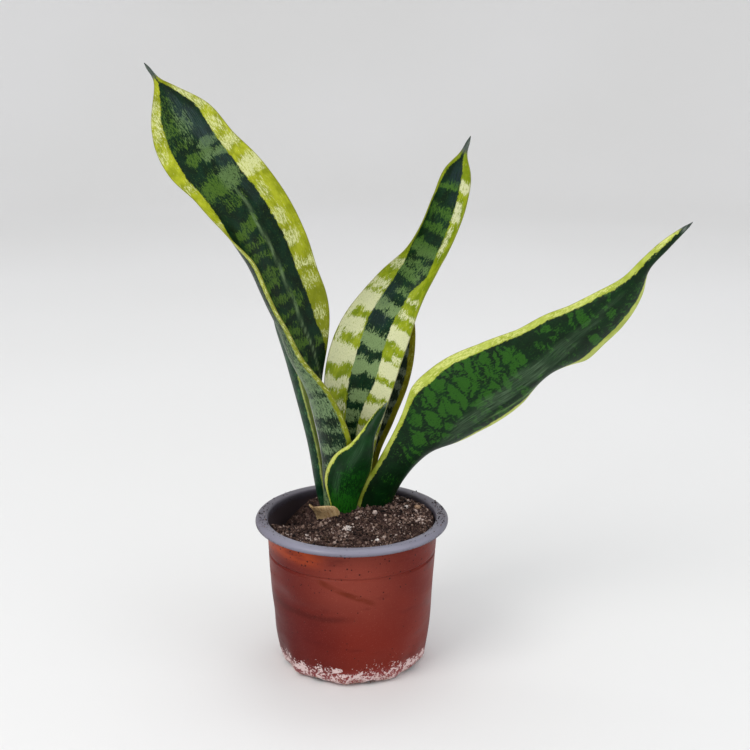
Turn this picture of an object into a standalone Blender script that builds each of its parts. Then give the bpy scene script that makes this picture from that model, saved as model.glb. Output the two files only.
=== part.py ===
# A potted snake plant: a thin nursery pot with a rolled rim and drainage slots, potting mix,
# a rhizome with roots under the surface, and six stiff channelled leaves.
# Metres, +Z up. The origin is the centre of the pot's base, on the surface that it stands on.
import math
import random

import bmesh
import bpy
from mathutils import Matrix, Vector

for old in list(bpy.data.objects):
    bpy.data.objects.remove(old, do_unlink=True)

MM = 0.001

# ---------------------------------------------------------------- driving dimensions
CLEARANCE = 0.0003        # between two pieces that rest on or hold each other

POT_HEIGHT = 0.0715
POT_WALL = 0.0008
RIM_DROOP = 0.0030        # how far the rim's outer edge turns down
MOUTH_RADIUS = 0.0400     # body under the rim
RIM_WIDTH = 0.0050        # flange of the rim, out from the mouth
FOOT_RADIUS = 0.0364      # body just above the rounded foot
GROOVE_DROP = 0.0165      # from the rim down to the pressed groove
GROOVE_DEPTH = 0.0006
FOOT_CORNER = 0.0050      # radius of the rounded foot
TURNS = 48                # straight sides in one round of the pot

SLOT_COUNT = 8            # raised drainage notches around the foot
SLOT_WIDTH = 0.0070
SLOT_HEIGHT = 0.0026
HOLE_COUNT = 6            # round drainage holes in the base
HOLE_RADIUS = 0.0030
HOLE_CIRCLE = 0.0180

SOIL_DROP = 0.0036        # level of the mix at its edge, below the rim
MOUND_HEIGHT = 0.0026     # mix drawn up round the foot of the plant
MOUND_SPREAD = 0.0150
HEAP_HEIGHT = 0.0030      # heap to the right of the plant
HEAP_SPREAD = 0.0130
HEAP_AT = (0.56, 0.15)    # in shares of the mouth's radius
PIT_DEPTH = 0.0120        # sunk corner, on the left behind the plant
PIT_SPREAD = 0.0095
PIT_AT = (-0.69, 0.36)    # in shares of the mouth's radius
SOIL_BUMP = 0.0004

PLANT_SCALE = 1.0         # size of the leaves and the rhizome's crown
WALL_GAP = 0.0013         # between the pot's inner wall and the leaf nearest to it, at the back
CROWN_SINK = 0.0184       # top of the rhizome's crown under the mix's level
CROWN_LENGTH = 0.0150     # half length, along X
CROWN_WIDTH = 0.0130      # half width, along Y
CROWN_DEPTH = 0.0120
ROOT_RADIUS = 0.0013

LEAF_ACROSS = 8           # strips from margin to margin
MARGIN_THICKNESS = 0.6    # mm


# ---------------------------------------------------------------- helpers
def finish_material(name, colour, roughness, metallic=0.0):
    material = bpy.data.materials.new(name)
    material.use_nodes = True
    shader = material.node_tree.nodes["Principled BSDF"]
    shader.inputs["Base Color"].default_value = (*colour, 1.0)
    shader.inputs["Roughness"].default_value = roughness
    shader.inputs["Metallic"].default_value = metallic
    material.diffuse_color = (*colour, 1.0)
    return material


def new_object(name, mesh, material=None, smooth=True):
    thing = bpy.data.objects.new(name, mesh)
    bpy.context.scene.collection.objects.link(thing)
    if material is not None:
        mesh.materials.append(material)
    if smooth:
        mesh.shade_smooth()
        mesh.set_sharp_from_angle(angle=math.radians(40))
    return thing


def turned(name, profile, steps, material=None):
    """A closed profile of (radius, height), turned round Z. A radius of 0 is a point on the axis."""
    bm = bmesh.new()
    rings = []
    for radius, height in profile:
        if radius == 0.0:
            rings.append([bm.verts.new((0.0, 0.0, height))])
        else:
            rings.append([
                bm.verts.new((
                    radius * math.cos(2 * math.pi * i / steps),
                    radius * math.sin(2 * math.pi * i / steps),
                    height,
                ))
                for i in range(steps)
            ])
    for ring, following in zip(rings, rings[1:]):
        for i in range(steps):
            j = (i + 1) % steps
            if len(ring) == 1:
                bm.faces.new((ring[0], following[i], following[j]))
            elif len(following) == 1:
                bm.faces.new((ring[i], following[0], ring[j]))
            else:
                bm.faces.new((ring[i], following[i], following[j], ring[j]))
    bmesh.ops.recalc_face_normals(bm, faces=bm.faces)
    mesh = bpy.data.meshes.new(name)
    bm.to_mesh(mesh)
    bm.free()
    return new_object(name, mesh, material)


def cutter(thing):
    thing.hide_render = True
    thing.display_type = "WIRE"
    return thing


def cut(target, tool):
    modifier = target.modifiers.new("cut_" + tool.name, "BOOLEAN")
    modifier.operation = "DIFFERENCE"
    modifier.solver = "EXACT"
    modifier.object = cutter(tool)
    return modifier


def join(target, tool):
    modifier = target.modifiers.new("join_" + tool.name, "BOOLEAN")
    modifier.operation = "UNION"
    modifier.solver = "EXACT"
    modifier.object = cutter(tool)
    return modifier


def curve_through(knots, values, at):
    """A smooth value at `at`, on a cubic through `values` at `knots`."""
    spans = [b - a for a, b in zip(knots, knots[1:])]
    slopes = [(b - a) / s for a, b, s in zip(values, values[1:], spans)]
    tangents = [slopes[0]]
    for i in range(1, len(knots) - 1):
        before, after = spans[i - 1], spans[i]
        tangents.append((slopes[i - 1] * after + slopes[i] * before) / (before + after))
    tangents.append(slopes[-1])
    i = 0
    while i < len(knots) - 2 and at > knots[i + 1]:
        i += 1
    u = (at - knots[i]) / spans[i]
    return (
        values[i] * (1 + 2 * u) * (1 - u) ** 2
        + spans[i] * tangents[i] * u * (1 - u) ** 2
        + values[i + 1] * u * u * (3 - 2 * u)
        + spans[i] * tangents[i + 1] * u * u * (u - 1)
    )


def half_section(width, curl, side, strips):
    """Points and normals over one half of a leaf's section: an arc that turns by `curl` degrees."""
    points = []
    turn = math.radians(max(curl, 0.5))
    radius = width / turn
    for i in range(strips + 1):
        share = i / strips
        angle = turn * share
        sideways, forward = radius * math.sin(angle), radius * (1 - math.cos(angle))
        points.append((side * sideways, forward, -side * math.sin(angle), math.cos(angle), share))
    return points


def spine(stations):
    """Distances along a leaf's midrib to its stations, and the stations' values in columns."""
    knots = [0.0]
    for a, b in zip(stations, stations[1:]):
        knots.append(knots[-1] + math.dist(a[:3], b[:3]))
    return knots, [list(column) for column in zip(*stations)]


def leaf(name, stations, sections, material=None, grow=0.0, deeper=0.0):
    """A leaf through its stations. A station holds x, y and z of the midrib from the crown; the half widths
    left and right; the way that the inner face looks, in degrees from the front, turning to the right; the
    curl of each half; and the thickness at the midrib. Lengths are in mm. `grow` thickens the leaf all
    round and `deeper` starts it lower, for the pocket that it stands in."""
    grow = grow / MM
    knots, columns = spine(stations)
    rows = []
    for i in range(sections):
        at = knots[-1] * i / (sections - 1)
        rows.append([curve_through(knots, column, at) for column in columns])
    middles = [Vector(row[:3]) for row in rows]
    bm = bmesh.new()
    rings = []
    for i, row in enumerate(rows):
        along = middles[min(i + 1, sections - 1)] - middles[max(i - 1, 0)]
        along.normalize()
        looks = math.radians(row[5])
        facing = Vector((math.sin(looks), -math.cos(looks), 0.0))
        facing = (facing - facing.dot(along) * along).normalized()
        across = along.cross(facing)
        start = middles[i] - along * (deeper / MM if i == 0 else 0.0)
        left = half_section(row[3] + grow, row[6], -1, LEAF_ACROSS // 2)
        right = half_section(row[4] + grow, row[7], 1, LEAF_ACROSS // 2)
        inner_side, outer_side = [], []
        for sideways, forward, n_side, n_front, share in left[:0:-1] + right:
            point = start + across * sideways + facing * forward
            normal = across * n_side + facing * n_front
            thick = max(row[8] * (1 - 0.72 * share ** 1.6), min(MARGIN_THICKNESS, row[8]))
            inner_side.append(point + normal * grow)
            outer_side.append(point - normal * (thick + grow))
        ring = inner_side + outer_side[::-1]
        rings.append([bm.verts.new(crown_point + p * MM * PLANT_SCALE) for p in ring])
    count = len(rings[0])
    for lower, upper in zip(rings, rings[1:]):
        for i in range(count):
            j = (i + 1) % count
            bm.faces.new((lower[i], upper[i], upper[j], lower[j]))
    strips = count // 2 - 1
    for ring in (rings[0], rings[-1]):
        for i in range(strips):
            bm.faces.new((ring[i], ring[i + 1], ring[count - 2 - i], ring[count - 1 - i]))
    bmesh.ops.triangulate(bm, faces=bm.faces)
    bmesh.ops.recalc_face_normals(bm, faces=bm.faces)
    mesh = bpy.data.meshes.new(name)
    bm.to_mesh(mesh)
    bm.free()
    return new_object(name, mesh, material)


def tube(name, points, radii, sides, material=None):
    """A round tube with flat ends through a list of points."""
    bm = bmesh.new()
    rings = []
    for i, point in enumerate(points):
        along = (points[min(i + 1, len(points) - 1)] - points[max(i - 1, 0)]).normalized()
        side = along.cross(Vector((0.3, 0.2, 1.0))).normalized()
        other = along.cross(side)
        rings.append([
            bm.verts.new(point + radii[i] * (math.cos(a) * side + math.sin(a) * other))
            for a in (2 * math.pi * k / sides for k in range(sides))
        ])
    for ring, following in zip(rings, rings[1:]):
        for k in range(sides):
            n = (k + 1) % sides
            bm.faces.new((ring[k], ring[n], following[n], following[k]))
    bm.faces.new(rings[0])
    bm.faces.new(rings[-1])
    bmesh.ops.triangulate(bm, faces=bm.faces)
    bmesh.ops.recalc_face_normals(bm, faces=bm.faces)
    mesh = bpy.data.meshes.new(name)
    bm.to_mesh(mesh)
    bm.free()
    return new_object(name, mesh, material)


def chip(name, place, size, seed, material=None, grow=0.0):
    """A small rough lump, `size` being its three half lengths."""
    rough = random.Random(seed)
    bm = bmesh.new()
    bmesh.ops.create_icosphere(bm, subdivisions=2, radius=1.0)
    turn = Matrix.Rotation(rough.uniform(0, math.pi), 3, "Z")
    for vert in bm.verts:
        jitter = rough.uniform(0.84, 1.0)
        vert.co = Vector([vert.co[k] * (size[k] * jitter + grow) for k in range(3)])
        vert.co = turn @ vert.co + Vector(place)
    mesh = bpy.data.meshes.new(name)
    bm.to_mesh(mesh)
    bm.free()
    return new_object(name, mesh, material, smooth=False)


# ---------------------------------------------------------------- nursery pot
pot_red = finish_material("pot_red_plastic", (0.225, 0.045, 0.030), 0.42)

groove = POT_HEIGHT - GROOVE_DROP
wall_slope = (MOUTH_RADIUS - FOOT_RADIUS) / (POT_HEIGHT - FOOT_CORNER)


def foot_arc(inset):
    """The rounded foot, from the base out to the wall, on the outer face or `inset` from it."""
    radius = FOOT_CORNER - inset
    centre = FOOT_RADIUS - FOOT_CORNER
    return [
        (centre + radius * math.sin(math.radians(a)), FOOT_CORNER - radius * math.cos(math.radians(a)))
        for a in (0, 30, 60, 90)
    ]


wall = []
for height, dent in (
    (groove * 0.5, 0.0),
    (groove - 0.0014, 0.0),
    (groove, GROOVE_DEPTH),
    (groove + 0.0014, 0.0),
    (POT_HEIGHT - 0.0026, 0.0),
):
    wall.append((FOOT_RADIUS + wall_slope * (height - FOOT_CORNER) - dent, height))


def face_at(inset):
    """The pot's profile, base to mouth, on the outer face or `inset` from it."""
    return [(0.0, inset)] + foot_arc(inset) + [(radius - inset, height) for radius, height in wall]


inside = face_at(POT_WALL)
rim_radius = MOUTH_RADIUS + RIM_WIDTH
rim = [
    (MOUTH_RADIUS + 0.0008, POT_HEIGHT - POT_WALL - 0.0005),
    (rim_radius - 0.0020, POT_HEIGHT - POT_WALL - 0.0005),
    (rim_radius - 0.0009, POT_HEIGHT - RIM_DROOP),
    (rim_radius, POT_HEIGHT - RIM_DROOP),
    (rim_radius - 0.0002, POT_HEIGHT - 0.0013),
    (rim_radius - 0.0011, POT_HEIGHT - 0.0004),
    (rim_radius - 0.0024, POT_HEIGHT),
    (MOUTH_RADIUS + 0.0002, POT_HEIGHT),
    (MOUTH_RADIUS - POT_WALL, POT_HEIGHT - 0.0009),
]
nursery_pot = turned("nursery_pot", face_at(0.0) + rim + inside[::-1], TURNS, pot_red)


def inside_radius(height):
    """Radius of the pot's inside at a height, read along its own profile."""
    for (r0, h0), (r1, h1) in zip(inside[1:], inside[2:]):
        if h0 <= height <= h1:
            return r0 + (r1 - r0) * (height - h0) / (h1 - h0)
    return inside[-1][0]


def round_cutter(name, radius, depth, sides, place):
    bm = bmesh.new()
    bmesh.ops.create_cone(
        bm, cap_ends=True, segments=sides, radius1=radius, radius2=radius, depth=depth, matrix=place
    )
    mesh = bpy.data.meshes.new(name)
    bm.to_mesh(mesh)
    bm.free()
    return new_object(name, mesh, smooth=False)


for i in range(SLOT_COUNT):
    turn = Matrix.Rotation(2 * math.pi * (i + 0.35) / SLOT_COUNT, 4, "Z")
    out = Matrix.Translation((FOOT_RADIUS, 0, 0)) @ Matrix.Rotation(math.pi / 2, 4, "Y")
    flat = Matrix.Scale(2 * SLOT_HEIGHT / SLOT_WIDTH, 4, (1, 0, 0))
    notch = round_cutter(f"slot_{i}", SLOT_WIDTH / 2, FOOT_CORNER * 3, 12, turn @ out @ flat)
    cut(nursery_pot, notch)
for i in range(HOLE_COUNT):
    turn = 2 * math.pi * i / HOLE_COUNT
    place = Matrix.Translation((HOLE_CIRCLE * math.cos(turn), HOLE_CIRCLE * math.sin(turn), 0))
    cut(nursery_pot, round_cutter(f"hole_{i}", HOLE_RADIUS, POT_WALL * 4, 14, place))

# ---------------------------------------------------------------- the plant's shape and its place in the pot
leaf_green = finish_material("leaf_green", (0.035, 0.110, 0.030), 0.38)
sheath_green = finish_material("sheath_green", (0.030, 0.120, 0.020), 0.40)
papery_tan = finish_material("dry_sheath_tan", (0.480, 0.310, 0.160), 0.80)

BASE = 0.6    # mm, foot of each leaf above the crown's top
LEAVES = {
    # x, y, z, half widths left and right, facing, curls left and right, thickness
    "leaf_left": (leaf_green, 27, [
        (-9.5, -2.5, BASE, 6.0, 5.0, 105, 75, 60, 2.7),
        (-10.6, -2.5, 22.5, 9.6, 7.0, 108, 74, 60, 2.6),
        (-11.8, -2.5, 48.0, 15.6, 7.5, 114, 75, 58, 2.4),
        (-17.3, -2.5, 73.0, 16.6, 10.0, 94, 80, 50, 2.3),
        (-24.5, -1.5, 97.0, 19.3, 16.5, 50, 100, 42, 2.2),
        (-28.5, -0.5, 114.5, 21.5, 21.3, 36, 103, 40, 2.0),
        (-33.5, -0.5, 129.5, 22.4, 18.8, 26, 111, 40, 1.9),
        (-38.5, 0.5, 145.0, 24.6, 19.5, 15, 119, 35, 1.8),
        (-46.5, 1.5, 160.5, 19.2, 20.3, 6, 84, 32, 1.7),
        (-56.5, 2.5, 173.5, 16.3, 21.7, 0, 45, 30, 1.6),
        (-65.5, 3.5, 186.5, 19.1, 19.0, -3, 38, 28, 1.5),
        (-74.5, 4.5, 202.0, 16.2, 13.5, -5, 35, 28, 1.4),
        (-82.0, 5.5, 214.0, 7.0, 4.7, -5, 40, 40, 1.4),
        (-85.5, 5.5, 218.5, 1.8, 1.6, -5, 60, 60, 1.2),
        (-91.0, 5.5, 226.0, 0.5, 0.5, -5, 60, 60, 0.6),
    ]),
    "leaf_centre": (leaf_green, 26, [
        (0.0, 3.0, BASE, 6.0, 6.0, -5, 40, 40, 2.6),
        (-1.0, 3.5, 20.5, 8.0, 9.0, -8, 45, 45, 2.5),
        (-1.0, 4.0, 45.5, 10.3, 12.5, -12, 45, 45, 2.4),
        (0.5, 4.5, 63.0, 14.0, 16.0, -14, 45, 42, 2.2),
        (3.5, 4.5, 83.0, 17.0, 18.5, -12, 38, 38, 2.1),
        (11.0, 5.5, 104.0, 18.0, 17.5, -6, 38, 45, 2.0),
        (22.0, 6.5, 124.5, 14.2, 15.0, 0, 50, 75, 1.8),
        (31.5, 8.5, 137.5, 11.8, 13.5, 0, 70, 95, 1.7),
        (40.0, 9.5, 151.5, 11.5, 10.8, -5, 80, 80, 1.6),
        (45.5, 10.5, 165.0, 10.3, 8.9, -8, 70, 60, 1.5),
        (48.5, 11.5, 178.0, 6.7, 6.6, -8, 55, 55, 1.4),
        (51.0, 12.5, 186.0, 1.6, 1.6, -8, 60, 60, 1.1),
        (54.0, 13.5, 193.5, 0.5, 0.5, -8, 60, 60, 0.6),
    ]),
    "leaf_right": (leaf_green, 29, [
        (8.5, -4.0, BASE, 5.0, 5.5, -158, 60, 30, 2.7),
        (14.0, -4.5, 24.0, 8.0, 12.0, -158, 70, 30, 2.6),
        (21.5, -8.0, 39.0, 7.0, 11.4, -162, 90, 32, 2.5),
        (32.5, -11.0, 53.0, 8.0, 16.2, -168, 80, 32, 2.4),
        (42.0, -13.0, 61.0, 12.0, 25.0, -170, 55, 30, 2.3),
        (52.5, -14.5, 69.0, 13.5, 27.5, -172, 50, 28, 2.2),
        (72.0, -16.5, 82.0, 12.0, 25.6, -172, 52, 25, 2.0),
        (86.0, -18.5, 93.0, 8.8, 21.6, -172, 85, 25, 1.9),
        (96.5, -19.5, 103.5, 16.6, 17.6, -170, 55, 28, 1.8),
        (105.5, -20.5, 111.5, 15.6, 13.6, -168, 50, 30, 1.7),
        (115.0, -21.5, 120.5, 13.6, 10.3, -165, 45, 45, 1.6),
        (123.5, -22.5, 130.0, 8.6, 6.7, -160, 40, 60, 1.5),
        (130.0, -23.5, 140.5, 2.6, 4.0, -150, 50, 80, 1.4),
        (137.0, -24.5, 148.5, 1.8, 3.4, -140, 70, 80, 1.3),
        (148.0, -25.5, 160.0, 0.5, 0.5, -140, 60, 60, 0.6),
    ]),
    "leaf_back_left": (leaf_green, 17, [
        (-9.5, 7.5, BASE, 4.0, 4.0, 100, 60, 60, 1.9),
        (-15.0, 11.0, 19.5, 6.0, 6.5, 100, 46, 65, 1.9),
        (-20.0, 11.5, 48.5, 6.8, 9.0, 100, 42, 65, 1.8),
        (-25.5, 12.0, 71.5, 8.0, 10.0, 98, 40, 55, 1.7),
        (-30.5, 12.5, 90.5, 9.5, 10.0, 95, 38, 50, 1.6),
        (-34.5, 13.0, 104.5, 8.0, 8.0, 85, 38, 40, 1.5),
        (-37.0, 13.5, 116.5, 4.0, 4.0, 80, 50, 40, 1.2),
        (-39.0, 14.5, 124.0, 0.5, 0.5, 80, 50, 40, 0.6),
    ]),
    "leaf_back_right": (leaf_green, 17, [
        (3.5, 8.5, BASE, 4.5, 4.5, -8, 35, 35, 2.1),
        (4.0, 11.5, 17.5, 7.0, 7.0, -8, 35, 35, 2.1),
        (6.0, 12.5, 42.5, 9.0, 7.4, -8, 35, 30, 2.0),
        (10.5, 13.5, 62.5, 11.0, 10.9, -10, 30, 30, 1.9),
        (15.5, 14.5, 82.5, 12.0, 13.3, -10, 30, 30, 1.8),
        (20.5, 15.5, 99.5, 11.0, 10.5, -10, 30, 30, 1.6),
        (23.5, 15.5, 112.0, 6.5, 6.0, -8, 30, 30, 1.4),
        (26.0, 15.5, 120.0, 0.5, 0.5, -8, 30, 30, 0.6),
    ]),
    "leaf_front_sheath": (sheath_green, 18, [
        (-3.0, -9.5, BASE, 5.0, 5.0, 178, 45, 45, 2.1),
        (-3.5, -11.5, 22.5, 6.2, 7.4, 178, 62, 38, 2.1),
        (-2.0, -13.0, 36.0, 9.6, 11.6, 178, 62, 28, 1.9),
        (0.0, -14.5, 43.5, 10.3, 10.8, 178, 64, 24, 1.8),
        (4.5, -15.5, 52.0, 6.4, 6.9, 178, 60, 26, 1.6),
        (8.0, -14.5, 59.5, 3.0, 4.6, 178, 60, 45, 1.4),
        (11.5, -12.0, 66.5, 2.2, 2.8, 178, 60, 60, 1.2),
        (16.0, -9.5, 74.0, 0.5, 0.5, 178, 60, 60, 0.6),
    ]),
    "dry_sheath": (papery_tan, 9, [
        (-13.0, -11.0, 11.0, 6.0, 6.0, 140, 50, 50, 0.7),
        (-13.5, -12.0, 17.0, 8.5, 8.5, 140, 52, 52, 0.7),
        (-14.5, -13.0, 20.5, 9.5, 9.0, 142, 50, 50, 0.7),
        (-16.0, -14.5, 23.0, 7.5, 7.0, 145, 45, 45, 0.7),
        (-17.5, -16.0, 24.8, 3.5, 3.5, 148, 40, 40, 0.6),
    ]),
}

mouth = MOUTH_RADIUS - POT_WALL
soil_level = POT_HEIGHT - SOIL_DROP
crown_height = soil_level - CROWN_SINK


def furthest_back(stations):
    """How far behind the pot's axis the crown can stand, with this leaf WALL_GAP clear of the pot's wall."""
    knots, columns = spine(stations)
    limit = mouth
    for i in range(61):
        x, y, z, left, right, looks = [
            curve_through(knots, column, knots[-1] * i / 60) for column in columns[:6]
        ]
        if crown_height + z * MM * PLANT_SCALE > POT_HEIGHT:
            break
        turn = math.radians(looks)
        for reach in (right, -left):
            sideways = (x + reach * math.cos(turn)) * MM * PLANT_SCALE
            behind = (y + reach * math.sin(turn)) * MM * PLANT_SCALE
            limit = min(limit, math.sqrt((mouth - WALL_GAP) ** 2 - sideways ** 2) - behind)
    return limit


crown_point = Vector((
    0.0,
    min(furthest_back(stations) for material, sections, stations in LEAVES.values()),
    crown_height,
))

# ---------------------------------------------------------------- potting mix
soil_brown = finish_material("potting_mix", (0.060, 0.038, 0.028), 0.95)


def soft_hill(x, y, middle, spread):
    return math.exp(-((x - middle[0]) ** 2 + (y - middle[1]) ** 2) / (2 * spread ** 2))


def soil_top(x, y):
    """Height of the mix's surface: level, drawn up round the plant, heaped right, sunk at the left back."""
    bumps = math.sin(x * 900 + 2 * math.sin(y * 700)) * math.cos(y * 1100 + x * 300)
    foot = (crown_point.x, crown_point.y - CROWN_WIDTH * 0.7)
    heap = (HEAP_AT[0] * MOUTH_RADIUS, HEAP_AT[1] * MOUTH_RADIUS)
    pit = (PIT_AT[0] * MOUTH_RADIUS, PIT_AT[1] * MOUTH_RADIUS)
    return (
        soil_level
        + MOUND_HEIGHT * soft_hill(x, y, foot, MOUND_SPREAD)
        + HEAP_HEIGHT * soft_hill(x, y, heap, HEAP_SPREAD)
        - PIT_DEPTH * soft_hill(x, y, pit, PIT_SPREAD)
        + SOIL_BUMP * bumps
    )


bm = bmesh.new()
middle = bm.verts.new((0, 0, soil_top(0, 0)))
rings = []
for share in (0.14, 0.28, 0.42, 0.55, 0.68, 0.80, 0.91, 1.0):
    ring = []
    for i in range(TURNS):
        angle = 2 * math.pi * i / TURNS
        edge = mouth - CLEARANCE
        x, y = edge * share * math.cos(angle), edge * share * math.sin(angle)
        height = soil_top(x, y)
        if share == 1.0:
            edge = inside_radius(height) - CLEARANCE
            x, y = edge * math.cos(angle), edge * math.sin(angle)
        ring.append(bm.verts.new((x, y, height)))
    rings.append(ring)
for radius, height in face_at(POT_WALL + CLEARANCE)[-2:0:-1]:
    rings.append([
        bm.verts.new((
            radius * math.cos(2 * math.pi * i / TURNS), radius * math.sin(2 * math.pi * i / TURNS), height
        ))
        for i in range(TURNS)
    ])
for i in range(TURNS):
    bm.faces.new((middle, rings[0][i], rings[0][(i + 1) % TURNS]))
for ring, following in zip(rings, rings[1:]):
    for i in range(TURNS):
        j = (i + 1) % TURNS
        bm.faces.new((ring[i], following[i], following[j], ring[j]))
bm.faces.new(rings[-1])
bmesh.ops.triangulate(bm, faces=bm.faces)
bmesh.ops.recalc_face_normals(bm, faces=bm.faces)
mesh = bpy.data.meshes.new("potting_mix")
bm.to_mesh(mesh)
bm.free()
potting_mix = new_object("potting_mix", mesh, soil_brown)

# ---------------------------------------------------------------- rhizome and roots, under the surface
root_tan = finish_material("rhizome_tan", (0.420, 0.230, 0.090), 0.75)
crown_length, crown_width, crown_depth = (
    size * PLANT_SCALE for size in (CROWN_LENGTH, CROWN_WIDTH, CROWN_DEPTH)
)


def crown(name, grow, material=None):
    """The rhizome's crown: a flattened round lump with a nearly flat top."""
    profile = [(0.0, 0.0), (0.60, 0.0), (0.88, -0.06), (1.0, -0.34), (0.93, -0.72), (0.62, -0.95), (0.0, -1.0)]
    shape = []
    for radius, height in profile:
        lift = grow if height > -0.5 else -grow
        shape.append((radius and radius + grow / crown_width, height * crown_depth + lift))
    lump = turned(name, shape[::-1], 20, material)
    lump.data.transform(
        Matrix.Translation(crown_point) @ Matrix.Diagonal((crown_length, crown_width, 1.0, 1.0))
    )
    return lump


def root(name, angle, reach, depth, sway, grow):
    """A root from the crown out to `reach` of the pot's inner radius and down `depth` of the way to its floor."""
    angle = math.radians(angle)
    floor = POT_WALL + 0.004
    start = crown_point - Vector((0, 0, crown_depth * 0.55))
    ends = Vector((math.cos(angle), math.sin(angle), 0.0)) * (FOOT_RADIUS - POT_WALL) * reach
    ends.z = start.z + (floor - start.z) * depth
    heading = (ends - start)
    heading.z = 0.0
    heading.normalize()
    start = start + heading * crown_width * 0.55
    sideways = Vector((-heading.y, heading.x, 0.0))
    points, radii = [], []
    steps = 9
    for i in range(steps + 1):
        u = i / steps
        point = start.lerp(ends, u)
        point.z = start.z + (ends.z - start.z) * u ** 1.3
        points.append(point + sideways * sway * math.sin(math.pi * u * 1.4))
        radii.append(ROOT_RADIUS * (1 - 0.45 * u) + grow)
    if grow:
        points[-1] = points[-1] + (points[-1] - points[-2]).normalized() * grow
    return tube(name, points, radii, 6)


ROOTS = (
    # angle round the pot, reach, depth, sway
    (200, 0.80, 0.70, 0.004),
    (240, 0.74, 0.90, -0.004),
    (275, 0.78, 0.62, 0.005),
    (312, 0.76, 0.95, 0.005),
    (350, 0.82, 0.66, -0.004),
    (60, 0.72, 0.85, 0.004),
)
rhizome = crown("rhizome_with_roots", 0.0, root_tan)
pocket = crown("rhizome_pocket", CLEARANCE)
for i, values in enumerate(ROOTS):
    join(rhizome, root(f"root_{i}", *values, grow=0.0))
    join(pocket, root(f"root_pocket_{i}", *values, grow=CLEARANCE))
cut(potting_mix, pocket)

# ---------------------------------------------------------------- leaves
for name, (material, sections, stations) in LEAVES.items():
    leaf(name, stations, sections, material)
    deeper = 0.0012 if stations[0][2] == BASE else CLEARANCE
    cut(potting_mix, leaf(name + "_pocket", stations, sections, grow=CLEARANCE, deeper=deeper))

# ---------------------------------------------------------------- perlite and bark on the mix
perlite_white = finish_material("perlite_white", (0.750, 0.730, 0.690), 0.90)
bark_brown = finish_material("bark_brown", (0.110, 0.060, 0.035), 0.90)

CHIPS = {
    # finish, place in shares of the mouth's radius, half lengths
    "perlite_1": (perlite_white, -0.050, -0.325, (0.0019, 0.0015, 0.0013)),
    "perlite_2": (perlite_white, 0.640, 0.200, (0.0018, 0.0013, 0.0011)),
    "perlite_3": (perlite_white, -0.500, -0.500, (0.0012, 0.0011, 0.0010)),
    "perlite_4": (perlite_white, 0.300, -0.625, (0.0013, 0.0011, 0.0010)),
    "bark_1": (bark_brown, 0.775, 0.250, (0.0026, 0.0018, 0.0012)),
    "bark_2": (bark_brown, 0.600, 0.575, (0.0030, 0.0014, 0.0012)),
    "bark_3": (bark_brown, -0.275, -0.575, (0.0024, 0.0015, 0.0010)),
}
for i, (name, (finish, to_right, to_back, size)) in enumerate(CHIPS.items()):
    x, y = to_right * MOUTH_RADIUS, to_back * MOUTH_RADIUS
    place = (x, y, soil_top(x, y) + size[2] * 0.35)
    chip(name, place, size, 40 + i, finish)
    cut(potting_mix, chip(name + "_dimple", place, size, 40 + i, grow=CLEARANCE))
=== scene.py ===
# A young potted snake plant in a thin red-brown nursery pot: the detailed, finished version of every part.
# All sizes are metres unless a name or note says mm; +Z is up and the pot stands on z = 0.
import math
import random
from functools import cached_property

import bmesh
import bpy
import numpy as np
from mathutils import Matrix, Quaternion, Vector, noise


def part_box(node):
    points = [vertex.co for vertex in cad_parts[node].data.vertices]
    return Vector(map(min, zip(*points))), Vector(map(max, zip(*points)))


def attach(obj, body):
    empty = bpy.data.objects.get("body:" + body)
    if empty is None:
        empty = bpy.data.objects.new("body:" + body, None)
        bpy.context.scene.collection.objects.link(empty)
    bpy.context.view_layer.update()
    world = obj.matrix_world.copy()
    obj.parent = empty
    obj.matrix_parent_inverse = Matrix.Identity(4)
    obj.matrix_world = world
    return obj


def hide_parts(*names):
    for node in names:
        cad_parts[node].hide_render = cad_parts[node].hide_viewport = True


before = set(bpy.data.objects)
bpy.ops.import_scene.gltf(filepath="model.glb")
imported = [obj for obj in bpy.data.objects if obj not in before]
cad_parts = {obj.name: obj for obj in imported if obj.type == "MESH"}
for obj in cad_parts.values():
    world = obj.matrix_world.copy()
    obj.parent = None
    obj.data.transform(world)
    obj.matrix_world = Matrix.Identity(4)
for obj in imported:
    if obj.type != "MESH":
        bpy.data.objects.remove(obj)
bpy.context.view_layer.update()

# ------------------------ camera
# The camera stands in front of the plant, over half a metre off and level with its leaf tips, and looks down at it
# by about 15 degrees. Colours are shown as they are, with no film look.
CAMERA_STAND = (0.0108, -0.5724, 0.2950)
LOOKS_DOWN = 15.28
LENS_MM = 62.8

camera_data = bpy.data.cameras.new("camera")
camera_data.lens = LENS_MM
camera_data.sensor_width = 36.0
camera_data.clip_start = 0.01
camera = bpy.data.objects.new("camera", camera_data)
bpy.context.scene.collection.objects.link(camera)
camera.location = CAMERA_STAND
camera.rotation_euler = (math.radians(90 - LOOKS_DOWN), 0.0, 0.0)
bpy.context.scene.camera = camera
bpy.context.scene.view_settings.view_transform = "Standard"

# ------------------------ floor
# A large sheet of pale matt studio paper. It lies flat under the pot and sweeps up all round into a low wall, so
# that no edge or corner shows.
FLOOR_FLAT = 1.5
SWEEP_RADIUS = 0.8
WALL_TOP = 1.25
UNDER_POT = -0.0002


def shade(red, green, blue):
    """A colour as it is seen on a screen, in the shader's own scale."""
    values = []
    for value in (red, green, blue):
        value /= 255.0
        values.append(value / 12.92 if value <= 0.04045 else ((value + 0.055) / 1.055) ** 2.4)
    return (*values, 1.0)


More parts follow.
